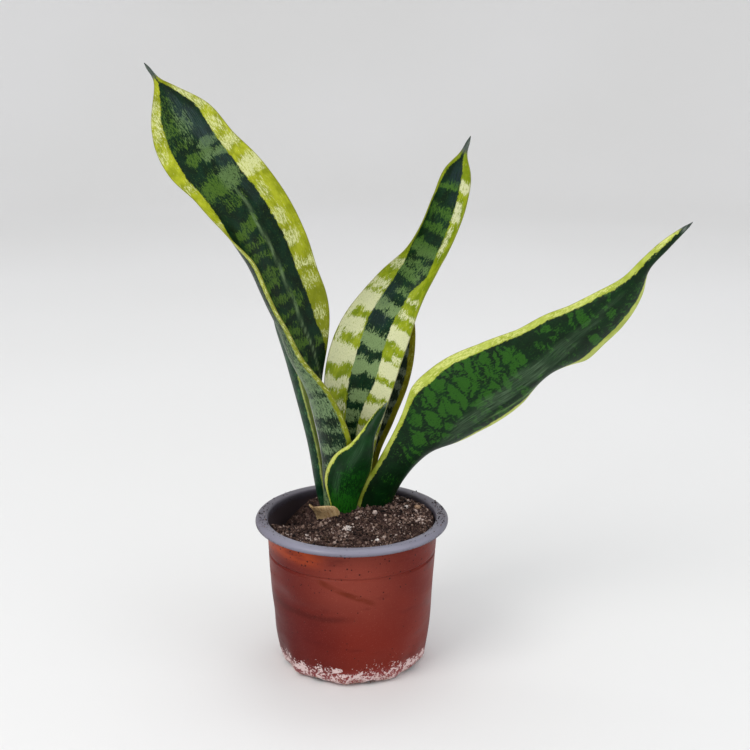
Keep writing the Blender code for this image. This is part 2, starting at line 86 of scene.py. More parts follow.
class Finish:
    """A node material that is being put together; a value may be a number, a colour or another node's output."""

    def __init__(self, name, **values):
        self.material = bpy.data.materials.new(name)
        self.material.use_nodes = True
        self.tree = self.material.node_tree
        self.shader = self.tree.nodes["Principled BSDF"]
        self.tone = None
        self.set(self.shader, values)

    def set(self, node, values):
        for key, value in values.items():
            socket = node.inputs[key] if isinstance(key, int) else node.inputs[key.replace("_", " ")]
            if isinstance(value, bpy.types.NodeSocket):
                self.tree.links.new(value, socket)
            else:
                socket.default_value = value

    @cached_property
    def place(self):
        """Each point's own place on the object."""
        return self.node("TexCoord").outputs["Object"]

    def node(self, kind, settings=None, **values):
        made = self.tree.nodes.new("ShaderNode" + kind)
        for key, value in (settings or {}).items():
            setattr(made, key, value)
        self.set(made, values)
        return made

    def maths(self, operation, a, b=0.0):
        made = self.node("Math", {"operation": operation})
        self.set(made, {0: a, 1: b})
        return made.outputs[0]

    def plus(self, a, b):
        return self.maths("ADD", a, b)

    def less(self, a, b):
        return self.maths("SUBTRACT", a, b)

    def times(self, a, b):
        return self.maths("MULTIPLY", a, b)

    def unsigned(self, a):
        return self.maths("ABSOLUTE", a)

    def step(self, value, low, high, to_low=0.0, to_high=1.0):
        """A soft step between two values."""
        made = self.node("MapRange", {"interpolation_type": "SMOOTHSTEP"}, Value=value)
        self.set(made, {1: low, 2: high, 3: to_low, 4: to_high})
        return made.outputs[0]

    def mix(self, share, a, b):
        made = self.node("Mix", {"data_type": "RGBA"})
        self.set(made, {0: share, 6: a, 7: b})
        return made.outputs[2]

    def coat(self, share, *colour):
        """Lays a colour over the tone so far, as thickly as the share says."""
        self.tone = self.mix(share, self.tone, shade(*colour))

    def wear(self, roughness=None):
        """Puts the tone on the shader, with its roughness where that changes over the surface."""
        self.set(self.shader, {"Base Color": self.tone})
        if roughness is not None:
            self.set(self.shader, {"Roughness": roughness})

    def noise(self, where, scale, detail=3.0, roughness=0.55):
        made = self.node("TexNoise", Vector=where, Scale=scale, Detail=detail, Roughness=roughness)
        return made.outputs["Fac"]

    def squeezed(self, z):
        """The place, with its height squeezed so that a pattern lies flat in layers."""
        return self.node("Mapping", Vector=self.place, Scale=(1, 1, z)).outputs[0]

    def parts(self, name):
        """The three values of a mesh attribute."""
        given = self.node("Attribute", {"attribute_name": name})
        return self.node("SeparateXYZ", Vector=given.outputs["Vector"]).outputs

    def joined(self, x, y, z):
        return self.node("CombineXYZ", X=x, Y=y, Z=z).outputs[0]

    def ramp(self, value, stops):
        """Takes the tone from a ramp of colours; a stop is (place, colour)."""
        made = self.node("ValToRGB", Fac=value)
        elements = made.color_ramp.elements
        for element, (at, colour) in zip(elements, (stops[0], stops[-1])):
            element.position, element.color = at, shade(*colour)
        for at, colour in stops[1:-1]:
            elements.new(at).color = shade(*colour)
        self.tone = made.outputs[0]

    def bump(self, height, distance, strength):
        made = self.node("Bump", Height=height, Distance=distance, Strength=strength)
        self.set(self.shader, {"Normal": made.outputs[0]})


def new_piece(name, mesh, *finishes):
    piece = bpy.data.objects.new(name, mesh)
    bpy.context.scene.collection.objects.link(piece)
    for finish in finishes:
        mesh.materials.append(finish.material)
    mesh.shade_smooth()
    return piece


def mesh_from(name, bm, tidy_normals=True):
    if tidy_normals:
        bmesh.ops.recalc_face_normals(bm, faces=bm.faces)
    mesh = bpy.data.meshes.new(name)
    bm.to_mesh(mesh)
    bm.free()
    return mesh


def polar(radius, angle):
    return radius * math.cos(angle), radius * math.sin(angle)


def circle(bm, radius, height, count):
    return [bm.verts.new((*polar(radius, 2 * math.pi * i / count), height)) for i in range(count)]


def turned(name, profile, steps, finishes, zones=None):
    """A profile of (radius, height) turned round Z; a first or last radius of 0 closes it on the axis."""
    bm = bmesh.new()
    rings = [
        [bm.verts.new((0, 0, height))] if radius == 0.0 else circle(bm, radius, height, steps)
        for radius, height in profile
    ]
    for number, (ring, following) in enumerate(zip(rings, rings[1:])):
        for i in range(steps):
            j = (i + 1) % steps
            if len(ring) == 1:
                face = bm.faces.new((ring[0], following[i], following[j]))
            elif len(following) == 1:
                face = bm.faces.new((ring[i], following[0], ring[j]))
            else:
                face = bm.faces.new((ring[i], following[i], following[j], ring[j]))
            face.material_index = zones[number] if zones else 0
    return new_piece(name, mesh_from(name, bm), *finishes)


paper = Finish("pale_studio_paper", Roughness=0.75)
cloud = paper.noise(paper.place, 1.3, 2.0)
paper.tone = paper.mix(paper.step(cloud, 0.3, 0.7), shade(232, 232, 231), shade(236, 236, 236))
paper.wear()

sweep = [(0.0, UNDER_POT), (0.4, UNDER_POT), (FLOOR_FLAT, UNDER_POT)]
sweep += [
    (FLOOR_FLAT + SWEEP_RADIUS * math.sin(a), SWEEP_RADIUS * (1 - math.cos(a)))
    for a in (math.radians(6 * i) for i in range(1, 16))
]
sweep.append((FLOOR_FLAT + SWEEP_RADIUS, WALL_TOP))
floor = turned("studio_floor", sweep, 96, [paper])

# ------------------------ light
# Studio light on stands: a large soft window light from the upper left, a weaker fill from the right and a cool
# one from above and behind. The pale room round them lights the shaded side.
ROOM_COLOUR, ROOM_STRENGTH = (0.985, 0.985, 1.0, 1.0), 0.77

world = bpy.data.worlds.new("studio_air")
bpy.context.scene.world = world
world.use_nodes = True
room = world.node_tree.nodes["Background"].inputs
room["Color"].default_value = ROOM_COLOUR
room["Strength"].default_value = ROOM_STRENGTH

for name, place, aim_height, size, power, colour in (
    ("window_light", (-0.75, -0.75, 1.15), 0.12, 0.75, 8.6, (1.0, 0.985, 0.96)),
    ("fill_light", (1.1, -0.6, 0.7), 0.12, 0.8, 2.6, (0.95, 0.98, 1.0)),
    ("top_light", (0.1, 0.55, 1.25), 0.15, 0.6, 2.2, (0.93, 0.97, 1.0)),
):
    data = bpy.data.lights.new(name, "AREA")
    data.size = size
    data.energy = power
    data.color = colour
    lamp = bpy.data.objects.new(name, data)
    bpy.context.scene.collection.objects.link(lamp)
    lamp.location = place
    lamp.rotation_euler = (Vector((0.0, 0.0, aim_height)) - Vector(place)).to_track_quat("-Z", "Y").to_euler()

# ------------------------ nursery pot
# Thermoformed pot, red-brown outside and lilac-grey inside, with a rolled rim, a pressed groove under it,
# a rounded foot with notches, round drainage holes, and the soft dents of a thin wall.
POT_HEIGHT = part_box("nursery_pot")[1].z
RIM_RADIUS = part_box("nursery_pot")[1].x
POT_WALL = 0.0008
RIM_DROOP = 0.0030
MOUTH_RADIUS = RIM_RADIUS - 0.0050
WALL_TOP_HEIGHT = POT_HEIGHT - 0.0024
FOOT_RADIUS = 0.0364
FOOT_CORNER = 0.0050
GROOVE = POT_HEIGHT - 0.0165
GROOVE_HALF, GROOVE_DEPTH = 0.0011, 0.0006
TUCK_DEPTH, TUCK_HEIGHT = 0.0026, 0.0125
INNER_RINGS = (0.012, 0.024)
POT_STEPS = 192
NOTCHES, NOTCH_RADIUS, NOTCH_HALF_WIDTH = 8, 0.0035, 0.0026
HOLES, HOLE_RADIUS, HOLE_CIRCLE = 6, 0.003, 0.018
# a dent: degrees round the wall, its reach there, its height, its reach up, how deep, and how far it sways
DENTS = (
    (-150, 16, 0.040, 0.0042, 0.0012, 0.0),
    (-168, 20, 0.024, 0.008, 0.0006, 0.0),
    (-118, 22, 0.038, 0.0026, 0.0008, 0.0012),
    (-70, 9, 0.012, 0.004, 0.0005, 0.0),
    (-100, 8, 0.010, 0.004, 0.0005, 0.0),
    (-60, 22, 0.030, 0.010, 0.0004, 0.0),
    (-30, 14, 0.018, 0.006, 0.0005, 0.0),
    (35, 25, 0.032, 0.010, 0.0006, 0.0),
    (120, 25, 0.028, 0.009, 0.0006, 0.0),
)


def clamp(value):
    return min(1.0, max(0.0, value))


def dent(angle, height):
    """How far the thin wall is pushed in; angle 0 is the right, -90 degrees the front."""
    pushed = 0.00012 * math.sin(3 * angle + 60 * height) + 0.00010 * math.sin(5 * angle - 140 * height + 1.0)
    for at, width, up, tall, depth, sway in DENTS:
        away = (angle - math.radians(at) + math.pi) % (2 * math.pi) - math.pi
        above = height - up - sway * math.sin(angle * 3.0)
        pushed += depth * math.exp(-(away / math.radians(width)) ** 2 - (above / tall) ** 2)
    return pushed


def tuck(angle, height):
    """How far the crumpled foot is drawn in."""
    crumple = 0.0006 * math.sin(9 * angle + 1.0) + 0.0004 * math.sin(17 * angle + 2.0)
    return (TUCK_DEPTH + crumple) * math.exp(-(height / TUCK_HEIGHT) ** 2)


def wall_radius(height):
    radius = FOOT_RADIUS + (MOUTH_RADIUS - FOOT_RADIUS) * (height - FOOT_CORNER) / (POT_HEIGHT - FOOT_CORNER)
    near = abs(height - GROOVE) / GROOVE_HALF
    return radius - (GROOVE_DEPTH * math.cos(near * math.pi / 2) ** 2 if near < 1 else 0.0)


def rounded(points, times):
    """Corners of an open line cut back again and again until it is smooth."""
    for _ in range(times):
        softer = [points[0]]
        for (r0, h0), (r1, h1) in zip(points, points[1:]):
            softer += [(a * r0 + (1 - a) * r1, a * h0 + (1 - a) * h1) for a in (0.75, 0.25)]
        points = softer + [points[-1]]
    return points


def foot_arc(inset):
    radius = FOOT_CORNER - inset
    return [
        (FOOT_RADIUS - FOOT_CORNER + radius * math.sin(a), FOOT_CORNER - radius * math.cos(a))
        for a in (math.radians(9 * i) for i in range(11))
    ]


heights = [FOOT_CORNER + 0.0016 * i for i in range(1, 31)]
heights += [GROOVE + 0.00022 * i for i in range(-6, 7)]
heights += [POT_HEIGHT - 0.0145 + 0.0016 * i for i in range(8)]
heights = sorted(h for h in heights if h < WALL_TOP_HEIGHT)
outer_side = [(0.0, 0.0)] + [(r, 0.0) for r in INNER_RINGS] + foot_arc(0.0)
outer_side += [(wall_radius(h), h) for h in heights]
rim_side = rounded([
    (MOUTH_RADIUS - 0.0001, POT_HEIGHT - 0.0020),
    (MOUTH_RADIUS + 0.0006, POT_HEIGHT - 0.0013),
    (RIM_RADIUS - 0.0020, POT_HEIGHT - 0.0013),
    (RIM_RADIUS - 0.0010, POT_HEIGHT - RIM_DROOP),
    (RIM_RADIUS - 0.0002, POT_HEIGHT - RIM_DROOP),
    (RIM_RADIUS, POT_HEIGHT - 0.0016),
    (RIM_RADIUS - 0.0008, POT_HEIGHT - 0.0005),
    (RIM_RADIUS - 0.0024, POT_HEIGHT),
    (MOUTH_RADIUS + 0.0003, POT_HEIGHT - 0.0001),
    (MOUTH_RADIUS - POT_WALL, POT_HEIGHT - 0.0009),
    (wall_radius(WALL_TOP_HEIGHT) - POT_WALL, WALL_TOP_HEIGHT),
], 3)
inner_side = [(wall_radius(h) - POT_WALL, h) for h in heights[::-1]] + foot_arc(POT_WALL)[::-1]
inner_side += [(r, POT_WALL) for r in INNER_RINGS[::-1]] + [(0.0, POT_WALL)]
pot_profile = outer_side + rim_side + inner_side
red_rings = len(outer_side) + len(rim_side) // 3
pot_zones = [0 if i < red_rings else 1 for i in range(len(pot_profile))]

# the outside: satin red-brown plastic in soft streaks, a painted highlight mid-front and painted shade low on the
# left
red = Finish("pot_red_plastic", Specular_IOR_Level=0.10)
across, depth, up = red.node("SeparateXYZ", Vector=red.place).outputs
streaky = red.noise(red.squeezed(3.5), 38.0, 4.0)
soft = red.noise(red.place, 14.0, 3.0)
grain = red.noise(red.place, 900.0, 3.0, 0.6)
red.tone = red.mix(red.step(soft, 0.35, 0.65), shade(98, 25, 18), shade(120, 38, 27))
# painted highlight: lightest in the middle of the front
red.coat(red.times(red.step(up, 0.022, 0.052), red.step(red.unsigned(across), 0.032, 0.004)), 134, 58, 46)
red.coat(red.step(streaky, 0.46, 0.28, 0.0, 0.5), 80, 17, 15)
# darkest low on the left: partly the plastic's own darker maroon, partly painted shade
red.coat(red.times(red.step(across, 0.004, -0.034), red.step(up, 0.056, 0.020, 0.25, 0.85)), 82, 18, 19)
# an orange smear under the rim, a slanting scrape, and the shade of the fold in the wall
smear = red.times(red.step(across, -0.006, -0.022), red.step(up, 0.0575, 0.0640))
red.coat(red.times(smear, red.step(streaky, 0.32, 0.56, 0.1, 0.9)), 176, 72, 34)
off_scrape = red.less(red.plus(up, red.times(across, 0.42)), 0.0475)
scrape = red.times(red.step(red.unsigned(off_scrape), 0.0021, 0.0006), red.step(streaky, 0.34, 0.56))
scrape = red.times(scrape, red.step(red.unsigned(red.plus(across, 0.002)), 0.0145, 0.0095))
red.coat(red.times(scrape, 0.80), 100, 34, 12)
off_fold = red.less(up, red.plus(0.0315, red.times(soft, 0.008)))
fold = red.times(red.step(red.unsigned(off_fold), 0.0026, 0.0002), red.step(across, 0.006, -0.010))
red.coat(red.times(fold, 0.55), 70, 18, 14)
# pale mineral crust round the foot, specks of soil, and fine dust
clumps = red.noise(red.place, 150.0, 4.0, 0.62)
crusty = red.plus(red.step(up, 0.0180, 0.0050, 0.0, 0.38), red.times(clumps, 0.85))
crusty = red.less(crusty, red.step(depth, -0.018, 0.006, 0.0, 0.16))
crust = red.step(red.plus(crusty, red.times(grain, 0.80)), 1.15, 1.24)
red.coat(red.times(red.step(up, 0.0105, 0.002), 0.55), 164, 92, 98)
red.coat(red.times(crust, 0.92), 228, 206, 204)
speck = red.node("TexVoronoi", Vector=red.place, Scale=330.0).outputs["Distance"]
speck = red.plus(speck, red.times(red.step(up, 0.035, 0.066), -0.05))
red.coat(red.step(speck, 0.115, 0.085), 62, 24, 20)
dusty = red.step(red.noise(red.place, 2600.0, 2.0), 0.60, 0.72)
red.coat(red.times(dusty, 0.25), 176, 104, 88)
red.wear(red.plus(red.step(streaky, 0.3, 0.7, 0.34, 0.46), red.times(crust, 0.4)))
ripple = red.noise(red.squeezed(2.2), 60.0, 2.0)
red.bump(red.plus(ripple, red.times(grain, 0.10)), 0.00035, 0.55)

# the rim and the inside: lilac-grey plastic, with smudges and dust of the mix, and painted light and shade
lilac = Finish("pot_lilac_inside", Specular_IOR_Level=0.5)
across, depth, up = lilac.node("SeparateXYZ", Vector=lilac.place).outputs
soft = lilac.noise(lilac.place, 45.0, 4.0)
grain = lilac.noise(lilac.place, 1100.0, 3.0, 0.65)
# painted highlight and shade: lighter towards the front of the rim, darker towards the back
lilac.tone = lilac.mix(lilac.step(depth, 0.008, -0.040), shade(82, 78, 88), shade(136, 135, 152))
lilac.coat(lilac.step(soft, 0.35, 0.7, 0.0, 0.35), 116, 110, 122)
# painted shade: darker down the inside wall, below the top of the rim
lilac.coat(lilac.step(up, POT_HEIGHT - 0.0010, POT_HEIGHT - 0.0040, 0.0, 0.85), 44, 34, 50)
dirt = lilac.plus(lilac.times(grain, 0.6), lilac.times(soft, 0.45))
dirt = lilac.plus(dirt, lilac.step(up, POT_HEIGHT - 0.0004, POT_HEIGHT - 0.0060, -0.04, 0.25))
dirt = lilac.plus(dirt, lilac.step(lilac.unsigned(across), 0.020, 0.044, 0.0, 0.05))
lilac.coat(lilac.step(dirt, 0.60, 0.72, 0.0, 0.75), 58, 44, 46)
lilac.wear(lilac.step(dirt, 0.45, 0.75, 0.33, 0.75))
lilac.bump(lilac.plus(soft, lilac.times(grain, 0.2)), 0.00018, 0.6)

pot = turned("pot", pot_profile, POT_STEPS, [red, lilac], pot_zones)
for vert in pot.data.vertices:
    x, y, z = vert.co
    radius = math.hypot(x, y)
    if radius > 0.030:  # the wall, and not the base
        fade = clamp((POT_HEIGHT - 0.004 - z) / 0.008) * clamp((z - 0.001) / 0.006)
        pushed = 1.0 - dent(math.atan2(y, x), z) * fade / radius
        vert.co.x, vert.co.y = x * pushed, y * pushed
    if z < 2.4 * TUCK_HEIGHT:
        drawn_in = 1.0 - tuck(math.atan2(y, x), z) / FOOT_RADIUS
        vert.co.x, vert.co.y = vert.co.x * drawn_in, vert.co.y * drawn_in

# the notches round the foot and the holes in the base are cut right through the wall
cutters = []
for i in range(NOTCHES):
    turn = Matrix.Rotation(2 * math.pi * (i + 0.35) / NOTCHES, 4, "Z")
    out = Matrix.Translation((FOOT_RADIUS, 0, 0)) @ Matrix.Rotation(math.pi / 2, 4, "Y")
    flat = Matrix.Scale(2 * NOTCH_HALF_WIDTH / (2 * NOTCH_RADIUS), 4, (1, 0, 0))
    cutters.append((28, NOTCH_RADIUS, 0.015, turn @ out @ flat))
for i in range(HOLES):
    cutters.append((32, HOLE_RADIUS, 4 * POT_WALL, Matrix.Translation((*polar(HOLE_CIRCLE, math.pi * i / 3), 0))))
bm = bmesh.new()
for sides, radius, depth, at in cutters:
    bmesh.ops.create_cone(bm, cap_ends=True, segments=sides, radius1=radius, radius2=radius, depth=depth, matrix=at)
openings = bpy.data.objects.new("pot_openings", mesh_from("pot_openings", bm, tidy_normals=False))
bpy.context.scene.collection.objects.link(openings)
cutting = pot.modifiers.new("openings", "BOOLEAN")
cutting.operation = "DIFFERENCE"
cutting.solver = "EXACT"
cutting.object = openings
cut_mesh = bpy.data.meshes.new_from_object(pot.evaluated_get(bpy.context.evaluated_depsgraph_get()))
pot.modifiers.clear()
pot.data = cut_mesh
cut_mesh.shade_smooth()
cut_mesh.set_sharp_from_angle(angle=math.radians(50))  # keeps the cut edges crisp
bpy.data.objects.remove(openings)
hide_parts("nursery_pot")
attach(pot, "root")

# ------------------------ potting mix
# Peat, sand and fine bark, pressed in by hand: a rough surface that climbs round the stems, is heaped on the right
# and has fallen in at the left behind the plant.
SOIL_LEVEL = POT_HEIGHT - 0.0036
MIX_RADIUS = MOUTH_RADIUS - POT_WALL
CROWN_Y = 0.01646
PIT = (-0.69 * MOUTH_RADIUS, 0.36 * MOUTH_RADIUS)
# place, reach and height of the rise round the stems, the heap on the right, and the pit
HILLS = (
    ((0.0, CROWN_Y - 0.0091), 0.015, 0.0026),
    ((0.56 * MOUTH_RADIUS, 0.15 * MOUTH_RADIUS), 0.013, 0.0030),
    (PIT, 0.0095, -0.0120),
)
UNDER_CRUMBS = 0.0003
RINGS, ROUND = 78, 176
# below the surface: height and distance from the wall
MIX_SIDES = ((0.052, 0.0020), (0.040, 0.0022), (0.022, 0.0026), (0.010, 0.0050), (0.0024, 0.0095))


def soft_hill(x, y, at, spread):
    return math.exp(-((x - at[0]) ** 2 + (y - at[1]) ** 2) / (2 * spread ** 2))


def soil_top(x, y):
    """Height of the mix's surface."""
    bumps = math.sin(x * 900 + 2 * math.sin(y * 700)) * math.cos(y * 1100 + x * 300)
    return SOIL_LEVEL + sum(rise * soft_hill(x, y, at, reach) for at, reach, rise in HILLS) + 0.0004 * bumps


def lumps(x, y):
    """How far the surface is rough there, up or down."""
    return 0.00075 * noise.fractal(Vector((x, y, 0.37)) * 330, 0.9, 2.1, 4)


soil = Finish("potting_mix_granular", Roughness=0.95, Specular_IOR_Level=0.2)
coarse = soil.noise(soil.place, 420.0, 5.0, 0.7)
fine = soil.noise(soil.place, 1900.0, 3.0, 0.7)
soil.ramp(
    soil.plus(soil.times(coarse, 0.6), soil.times(fine, 0.4)),
    [(0.40, (16, 11, 12)), (0.56, (80, 58, 52)), (0.72, (186, 164, 156))],
)
soil.wear()
soil.bump(soil.plus(coarse, soil.times(fine, 0.5)), 0.0009, 1.0)

bm = bmesh.new()
loops = []
for i in range(1, RINGS + 1):
    share = (i / RINGS) ** 0.9
    loop = []
    for j in range(ROUND):
        angle = 2 * math.pi * (j + 0.5 * (i % 2)) / ROUND
        x, y = polar((MIX_RADIUS - 0.0005) * share, angle)
        height = soil_top(x, y) + lumps(x, y) * min(1.0, (1.04 - share) * 12) - UNDER_CRUMBS
        if i == RINGS:
            x, y = polar(wall_radius(max(height, 0.02)) - POT_WALL - 0.0009, angle)
        loop.append(bm.verts.new((x, y, height)))
    loops.append(loop)
for height, inset in MIX_SIDES:
    loops.append(circle(bm, wall_radius(max(height, FOOT_CORNER)) - POT_WALL - inset, height, ROUND))
centre = bm.verts.new((0, 0, soil_top(0, 0) - UNDER_CRUMBS))
for j in range(ROUND):
    bm.faces.new((centre, loops[0][j], loops[0][(j + 1) % ROUND]))
for loop, following in zip(loops, loops[1:]):
    for j in range(ROUND):
        k = (j + 1) % ROUND
        bm.faces.new((loop[j], following[j], following[k], loop[k]))
bm.faces.new(loops[-1][::-1])
mix_body = new_piece("mix_body", mesh_from("mix_body", bm), soil)
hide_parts("potting_mix")
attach(mix_body, "root")

# ------------------------ crumbs on the mix
# Loose crumbs of peat, grit and bark, most of them under a millimetre. They lie thick on the mix, thin out in the
# pit and are painted darker there as shade, and a few lie on the rim or stick to the wall under it.

# name, how many, smallest and largest radius, how finely each is made, seed
CRUMBS = (
    ("crumbs_fine", 5600, 0.00020, 0.00050, 1, 3),
    ("crumbs_middling", 1900, 0.00042, 0.00090, 2, 5),
    ("crumbs_coarse", 330, 0.00075, 0.00150, 2, 7),
)
ON_RIM, ON_WALL = 230, 110
# the sides of the rim that carry crumbs, in degrees; twice where there are more
DIRTY_SIDES = (180, 180, 0, 0, -135, -45, 90)


def rough_balls(count, subdivisions, seed):
    """Unit lumps, each one different: vertices (count, n, 3) and the faces of one."""
    bm = bmesh.new()
    bmesh.ops.create_icosphere(bm, subdivisions=subdivisions, radius=1.0)
    bm.verts.ensure_lookup_table()
    verts = np.array([v.co[:] for v in bm.verts])
    faces = np.array([[v.index for v in f.verts] for f in bm.faces])
    bm.free()
    rng = np.random.default_rng(seed)
    shapes = verts[None] * rng.uniform(0.62, 1.12, (count, len(verts), 1))
    shapes *= rng.uniform(0.42, 1.0, (count, 1, 3))
    turns = rng.normal(size=(count, 4))
    turns /= np.linalg.norm(turns, axis=1, keepdims=True)
    rotation = np.array([Quaternion(turn).to_matrix() for turn in turns])
    return np.einsum("nij,nkj->nki", rotation, shapes), faces


def scatter(name, grains, finish, subdivisions, seed):
    """One mesh of many grains, each given as (place, size, tone); the tone is kept as a mesh attribute."""
    places, sizes, tones = (np.array(column) for column in zip(*grains))
    shapes, faces = rough_balls(len(places), subdivisions, seed)
    verts = shapes * sizes[:, None, None] + places[:, None, :]
    per = verts.shape[1]
    all_faces = faces[None] + (np.arange(len(places)) * per)[:, None, None]
    mesh = bpy.data.meshes.new(name)
    mesh.from_pydata(verts.reshape(-1, 3).tolist(), [], all_faces.reshape(-1, faces.shape[1]).tolist())
    tone = mesh.attributes.new("tone", "FLOAT", "POINT")
    tone.data.foreach_set("value", np.repeat(tones.astype(np.float32), per))
    return new_piece(name, mesh, finish)


def crumb_finish(name, stops):
    finish = Finish(name, Roughness=0.92, Specular_IOR_Level=0.25)
    own = finish.node("Attribute", {"attribute_name": "tone"}).outputs["Fac"]
    fine = finish.noise(finish.place, 2600.0, 3.0, 0.7)
    finish.ramp(finish.plus(own, finish.step(fine, 0.3, 0.7, -0.10, 0.10)), stops)
    finish.wear()
    finish.bump(fine, 0.00025, 0.8)
    return finish


crumbs_mixed = crumb_finish("crumbs_peat_and_grit", [
    (0.10, (16, 11, 12)), (0.34, (46, 32, 29)), (0.54, (92, 70, 60)), (0.72, (146, 122, 110)),
    (0.98, (204, 186, 178)),
])
chance = random.Random(11)

for name, count, low, high, subdivisions, seed in CRUMBS:
    grains = []
    while len(grains) < count:
        radius = (MIX_RADIUS - 0.0016) * math.sqrt(chance.random())
        x, y = polar(radius, chance.uniform(0, 2 * math.pi))
        size = low + (high - low) * chance.random() ** 1.7
        sunk = soft_hill(x, y, PIT, 0.0105)
        if chance.random() < sunk * 0.5:
            continue
        ground = soil_top(x, y) + lumps(x, y) - UNDER_CRUMBS
        place = (x, y, min(ground + size * chance.uniform(0.05, 0.75), POT_HEIGHT + 0.002))
        patchy = 0.5 + 0.9 * noise.noise(Vector((x, y, 0)) * 110)
        # the tone varies in random patches; in the pit it is darker, a painted shade
        grains.append((place, size, clamp(chance.gauss(0.33 + 0.40 * patchy - 0.40 * sunk, 0.17))))
    crumbs = scatter(name, grains, crumbs_mixed, subdivisions, seed)
    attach(crumbs, "root")

grains = []
for _ in range(ON_RIM):
    side = chance.choice(DIRTY_SIDES)
    angle = math.radians(chance.gauss(side, 20))
    radius = chance.uniform(MOUTH_RADIUS - 0.0002, RIM_RADIUS - 0.0014)
    size = chance.uniform(0.00012, 0.00042) * (1.4 if side in (0, 180) else 0.8)
    radius = min(radius, RIM_RADIUS - 0.0008 - size)
    place = (*polar(radius, angle), POT_HEIGHT - 0.0001 + size * 0.3)
    grains.append((place, size, clamp(chance.gauss(0.28, 0.2))))
for _ in range(ON_WALL):
    angle = math.radians(chance.gauss(-95, 42))
    height = POT_HEIGHT - 0.003 - abs(chance.gauss(0, 0.010))
    size = chance.uniform(0.00010, 0.00034)
    radius = wall_radius(max(height, 0.01)) - dent(angle, height) + size * 0.15
    grains.append(((*polar(radius, angle), height), size, clamp(chance.gauss(0.16, 0.12))))
stray = scatter("crumbs_stray", grains, crumbs_mixed, 1, 13)
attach(stray, "root")

# ------------------------ mineral crust on the foot
# Whitish-pink grains of hard water and perlite dust. They have dried on round the lower wall, most of them at the
# front, in patches that thin out upwards.
CRUST_GRAINS = 2200
crust_grains = crumb_finish("crust_grains", [(0.0, (150, 96, 84)), (0.5, (204, 164, 150)), (1.0, (238, 222, 214))])
grains = []
for _ in range(CRUST_GRAINS):
    angle = math.radians(chance.gauss(-90, 58) if chance.random() < 0.8 else chance.uniform(0, 360))
    height = 0.0004 + abs(chance.gauss(0.002, 0.0032))
    if noise.noise(Vector((angle * 5, height * 320, 3.0))) + 0.12 < 0.4 * height / 0.006:
        continue
    size = chance.uniform(0.00008, 0.00030) * (1.0 if height > 0.004 else 1.35)
    if height < FOOT_CORNER:
        tilt = math.acos(max(-1.0, min(1.0, 1 - height / FOOT_CORNER)))
        radius = FOOT_RADIUS - FOOT_CORNER + FOOT_CORNER * math.sin(tilt)
    else:
        radius = wall_radius(height) - dent(angle, height)
    radius = radius * (1.0 - tuck(angle, height) / FOOT_RADIUS) + size * 0.1
    grains.append(((*polar(radius, angle), max(height, size + 0.0001)), size, chance.random()))
foot_crust = scatter("foot_crust", grains, crust_grains, 1, 17)
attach(foot_crust, "root")

# ------------------------ perlite
# White volcanic glass, popped by heat into light, pitted lumps and mixed into the soil: four lumps, each with its
# smaller fragments round it.
FRAGMENTS = {1: 44, 2: 16, 3: 8, 4: 8}
PERLITE_TONE = 0.9
perlite = Finish("perlite_white", Roughness=0.9, Specular_IOR_Level=0.3)
pits = perlite.node("TexVoronoi", Vector=perlite.place, Scale=1500.0).outputs["Distance"]
stained = perlite.step(perlite.noise(perlite.place, 500.0, 3.0), 0.4, 0.7)
perlite.tone = perlite.mix(stained, shade(236, 228, 224), shade(196, 176, 168))
# painted shade: the pits darker than the lump round them
perlite.coat(perlite.step(pits, 0.35, 0.15), 168, 150, 142)
perlite.wear()
perlite.bump(pits, 0.0003, 0.8)
for number, fragments in FRAGMENTS.items():
    low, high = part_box(f"perlite_{number}")
    middle, reach = (low + high) / 2, (high - low) / 2
    grains = [(tuple(middle), min(reach), PERLITE_TONE)]
    for _ in range(fragments):
        away = Vector((chance.gauss(0, 1), chance.gauss(0, 0.8), 0)) * reach.x * 0.85
        size = chance.uniform(0.22, 0.55) * min(reach)
        x, y = middle.x + away.x, middle.y + away.y
        height = soil_top(x, y) + size * 0.75 + max(0.0, reach.z * (0.9 - away.length / reach.x))
        grains.append(((x, y, height), size, PERLITE_TONE))
    lump = scatter(f"perlite_lump_{number}", grains, perlite, 2, 20 + number)
    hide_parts(f"perlite_{number}")
    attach(lump, "root")

# ------------------------ bark
# Chips of pine bark, broken along the layers they grew in and dug into the mix. The first is a fresh tan one, the
# others have gone nearly black.


def bark_finish(name, dark, light):
    finish = Finish(name, Roughness=0.88, Specular_IOR_Level=0.25)
    layers = finish.noise(finish.squeezed(5), 500.0, 4.0, 0.65)
    finish.tone = finish.mix(finish.step(layers, 0.35, 0.68), shade(*dark), shade(*light))
    finish.wear()
    finish.bump(layers, 0.0004, 0.9)
    return finish


bark_tan = bark_finish("bark_tan", (112, 84, 62), (182, 152, 128))
bark_black = bark_finish("bark_black", (22, 16, 15), (86, 64, 52))
for number, finish in ((1, bark_tan), (2, bark_black), (3, bark_black)):
    low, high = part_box(f"bark_{number}")
    middle, reach = (low + high) / 2, (high - low) / 2
    bm = bmesh.new()
    bmesh.ops.create_icosphere(bm, subdivisions=4, radius=1.0)
    for vert in bm.verts:
        lump = 0.86 + 0.16 * noise.fractal(vert.co * 1.6 + Vector((number * 7.0, 0, 0)), 0.8, 2.0, 4)
        layered = 1.0 + 0.05 * math.sin(vert.co.z * 13 + number)
        vert.co = Vector([vert.co[k] * reach[k] * lump * layered + middle[k] for k in range(3)])
    name = f"bark_chip_{number}"
    chip = new_piece(name, mesh_from(name, bm, tidy_normals=False), finish)
    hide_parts(f"bark_{number}")
    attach(chip, "root")

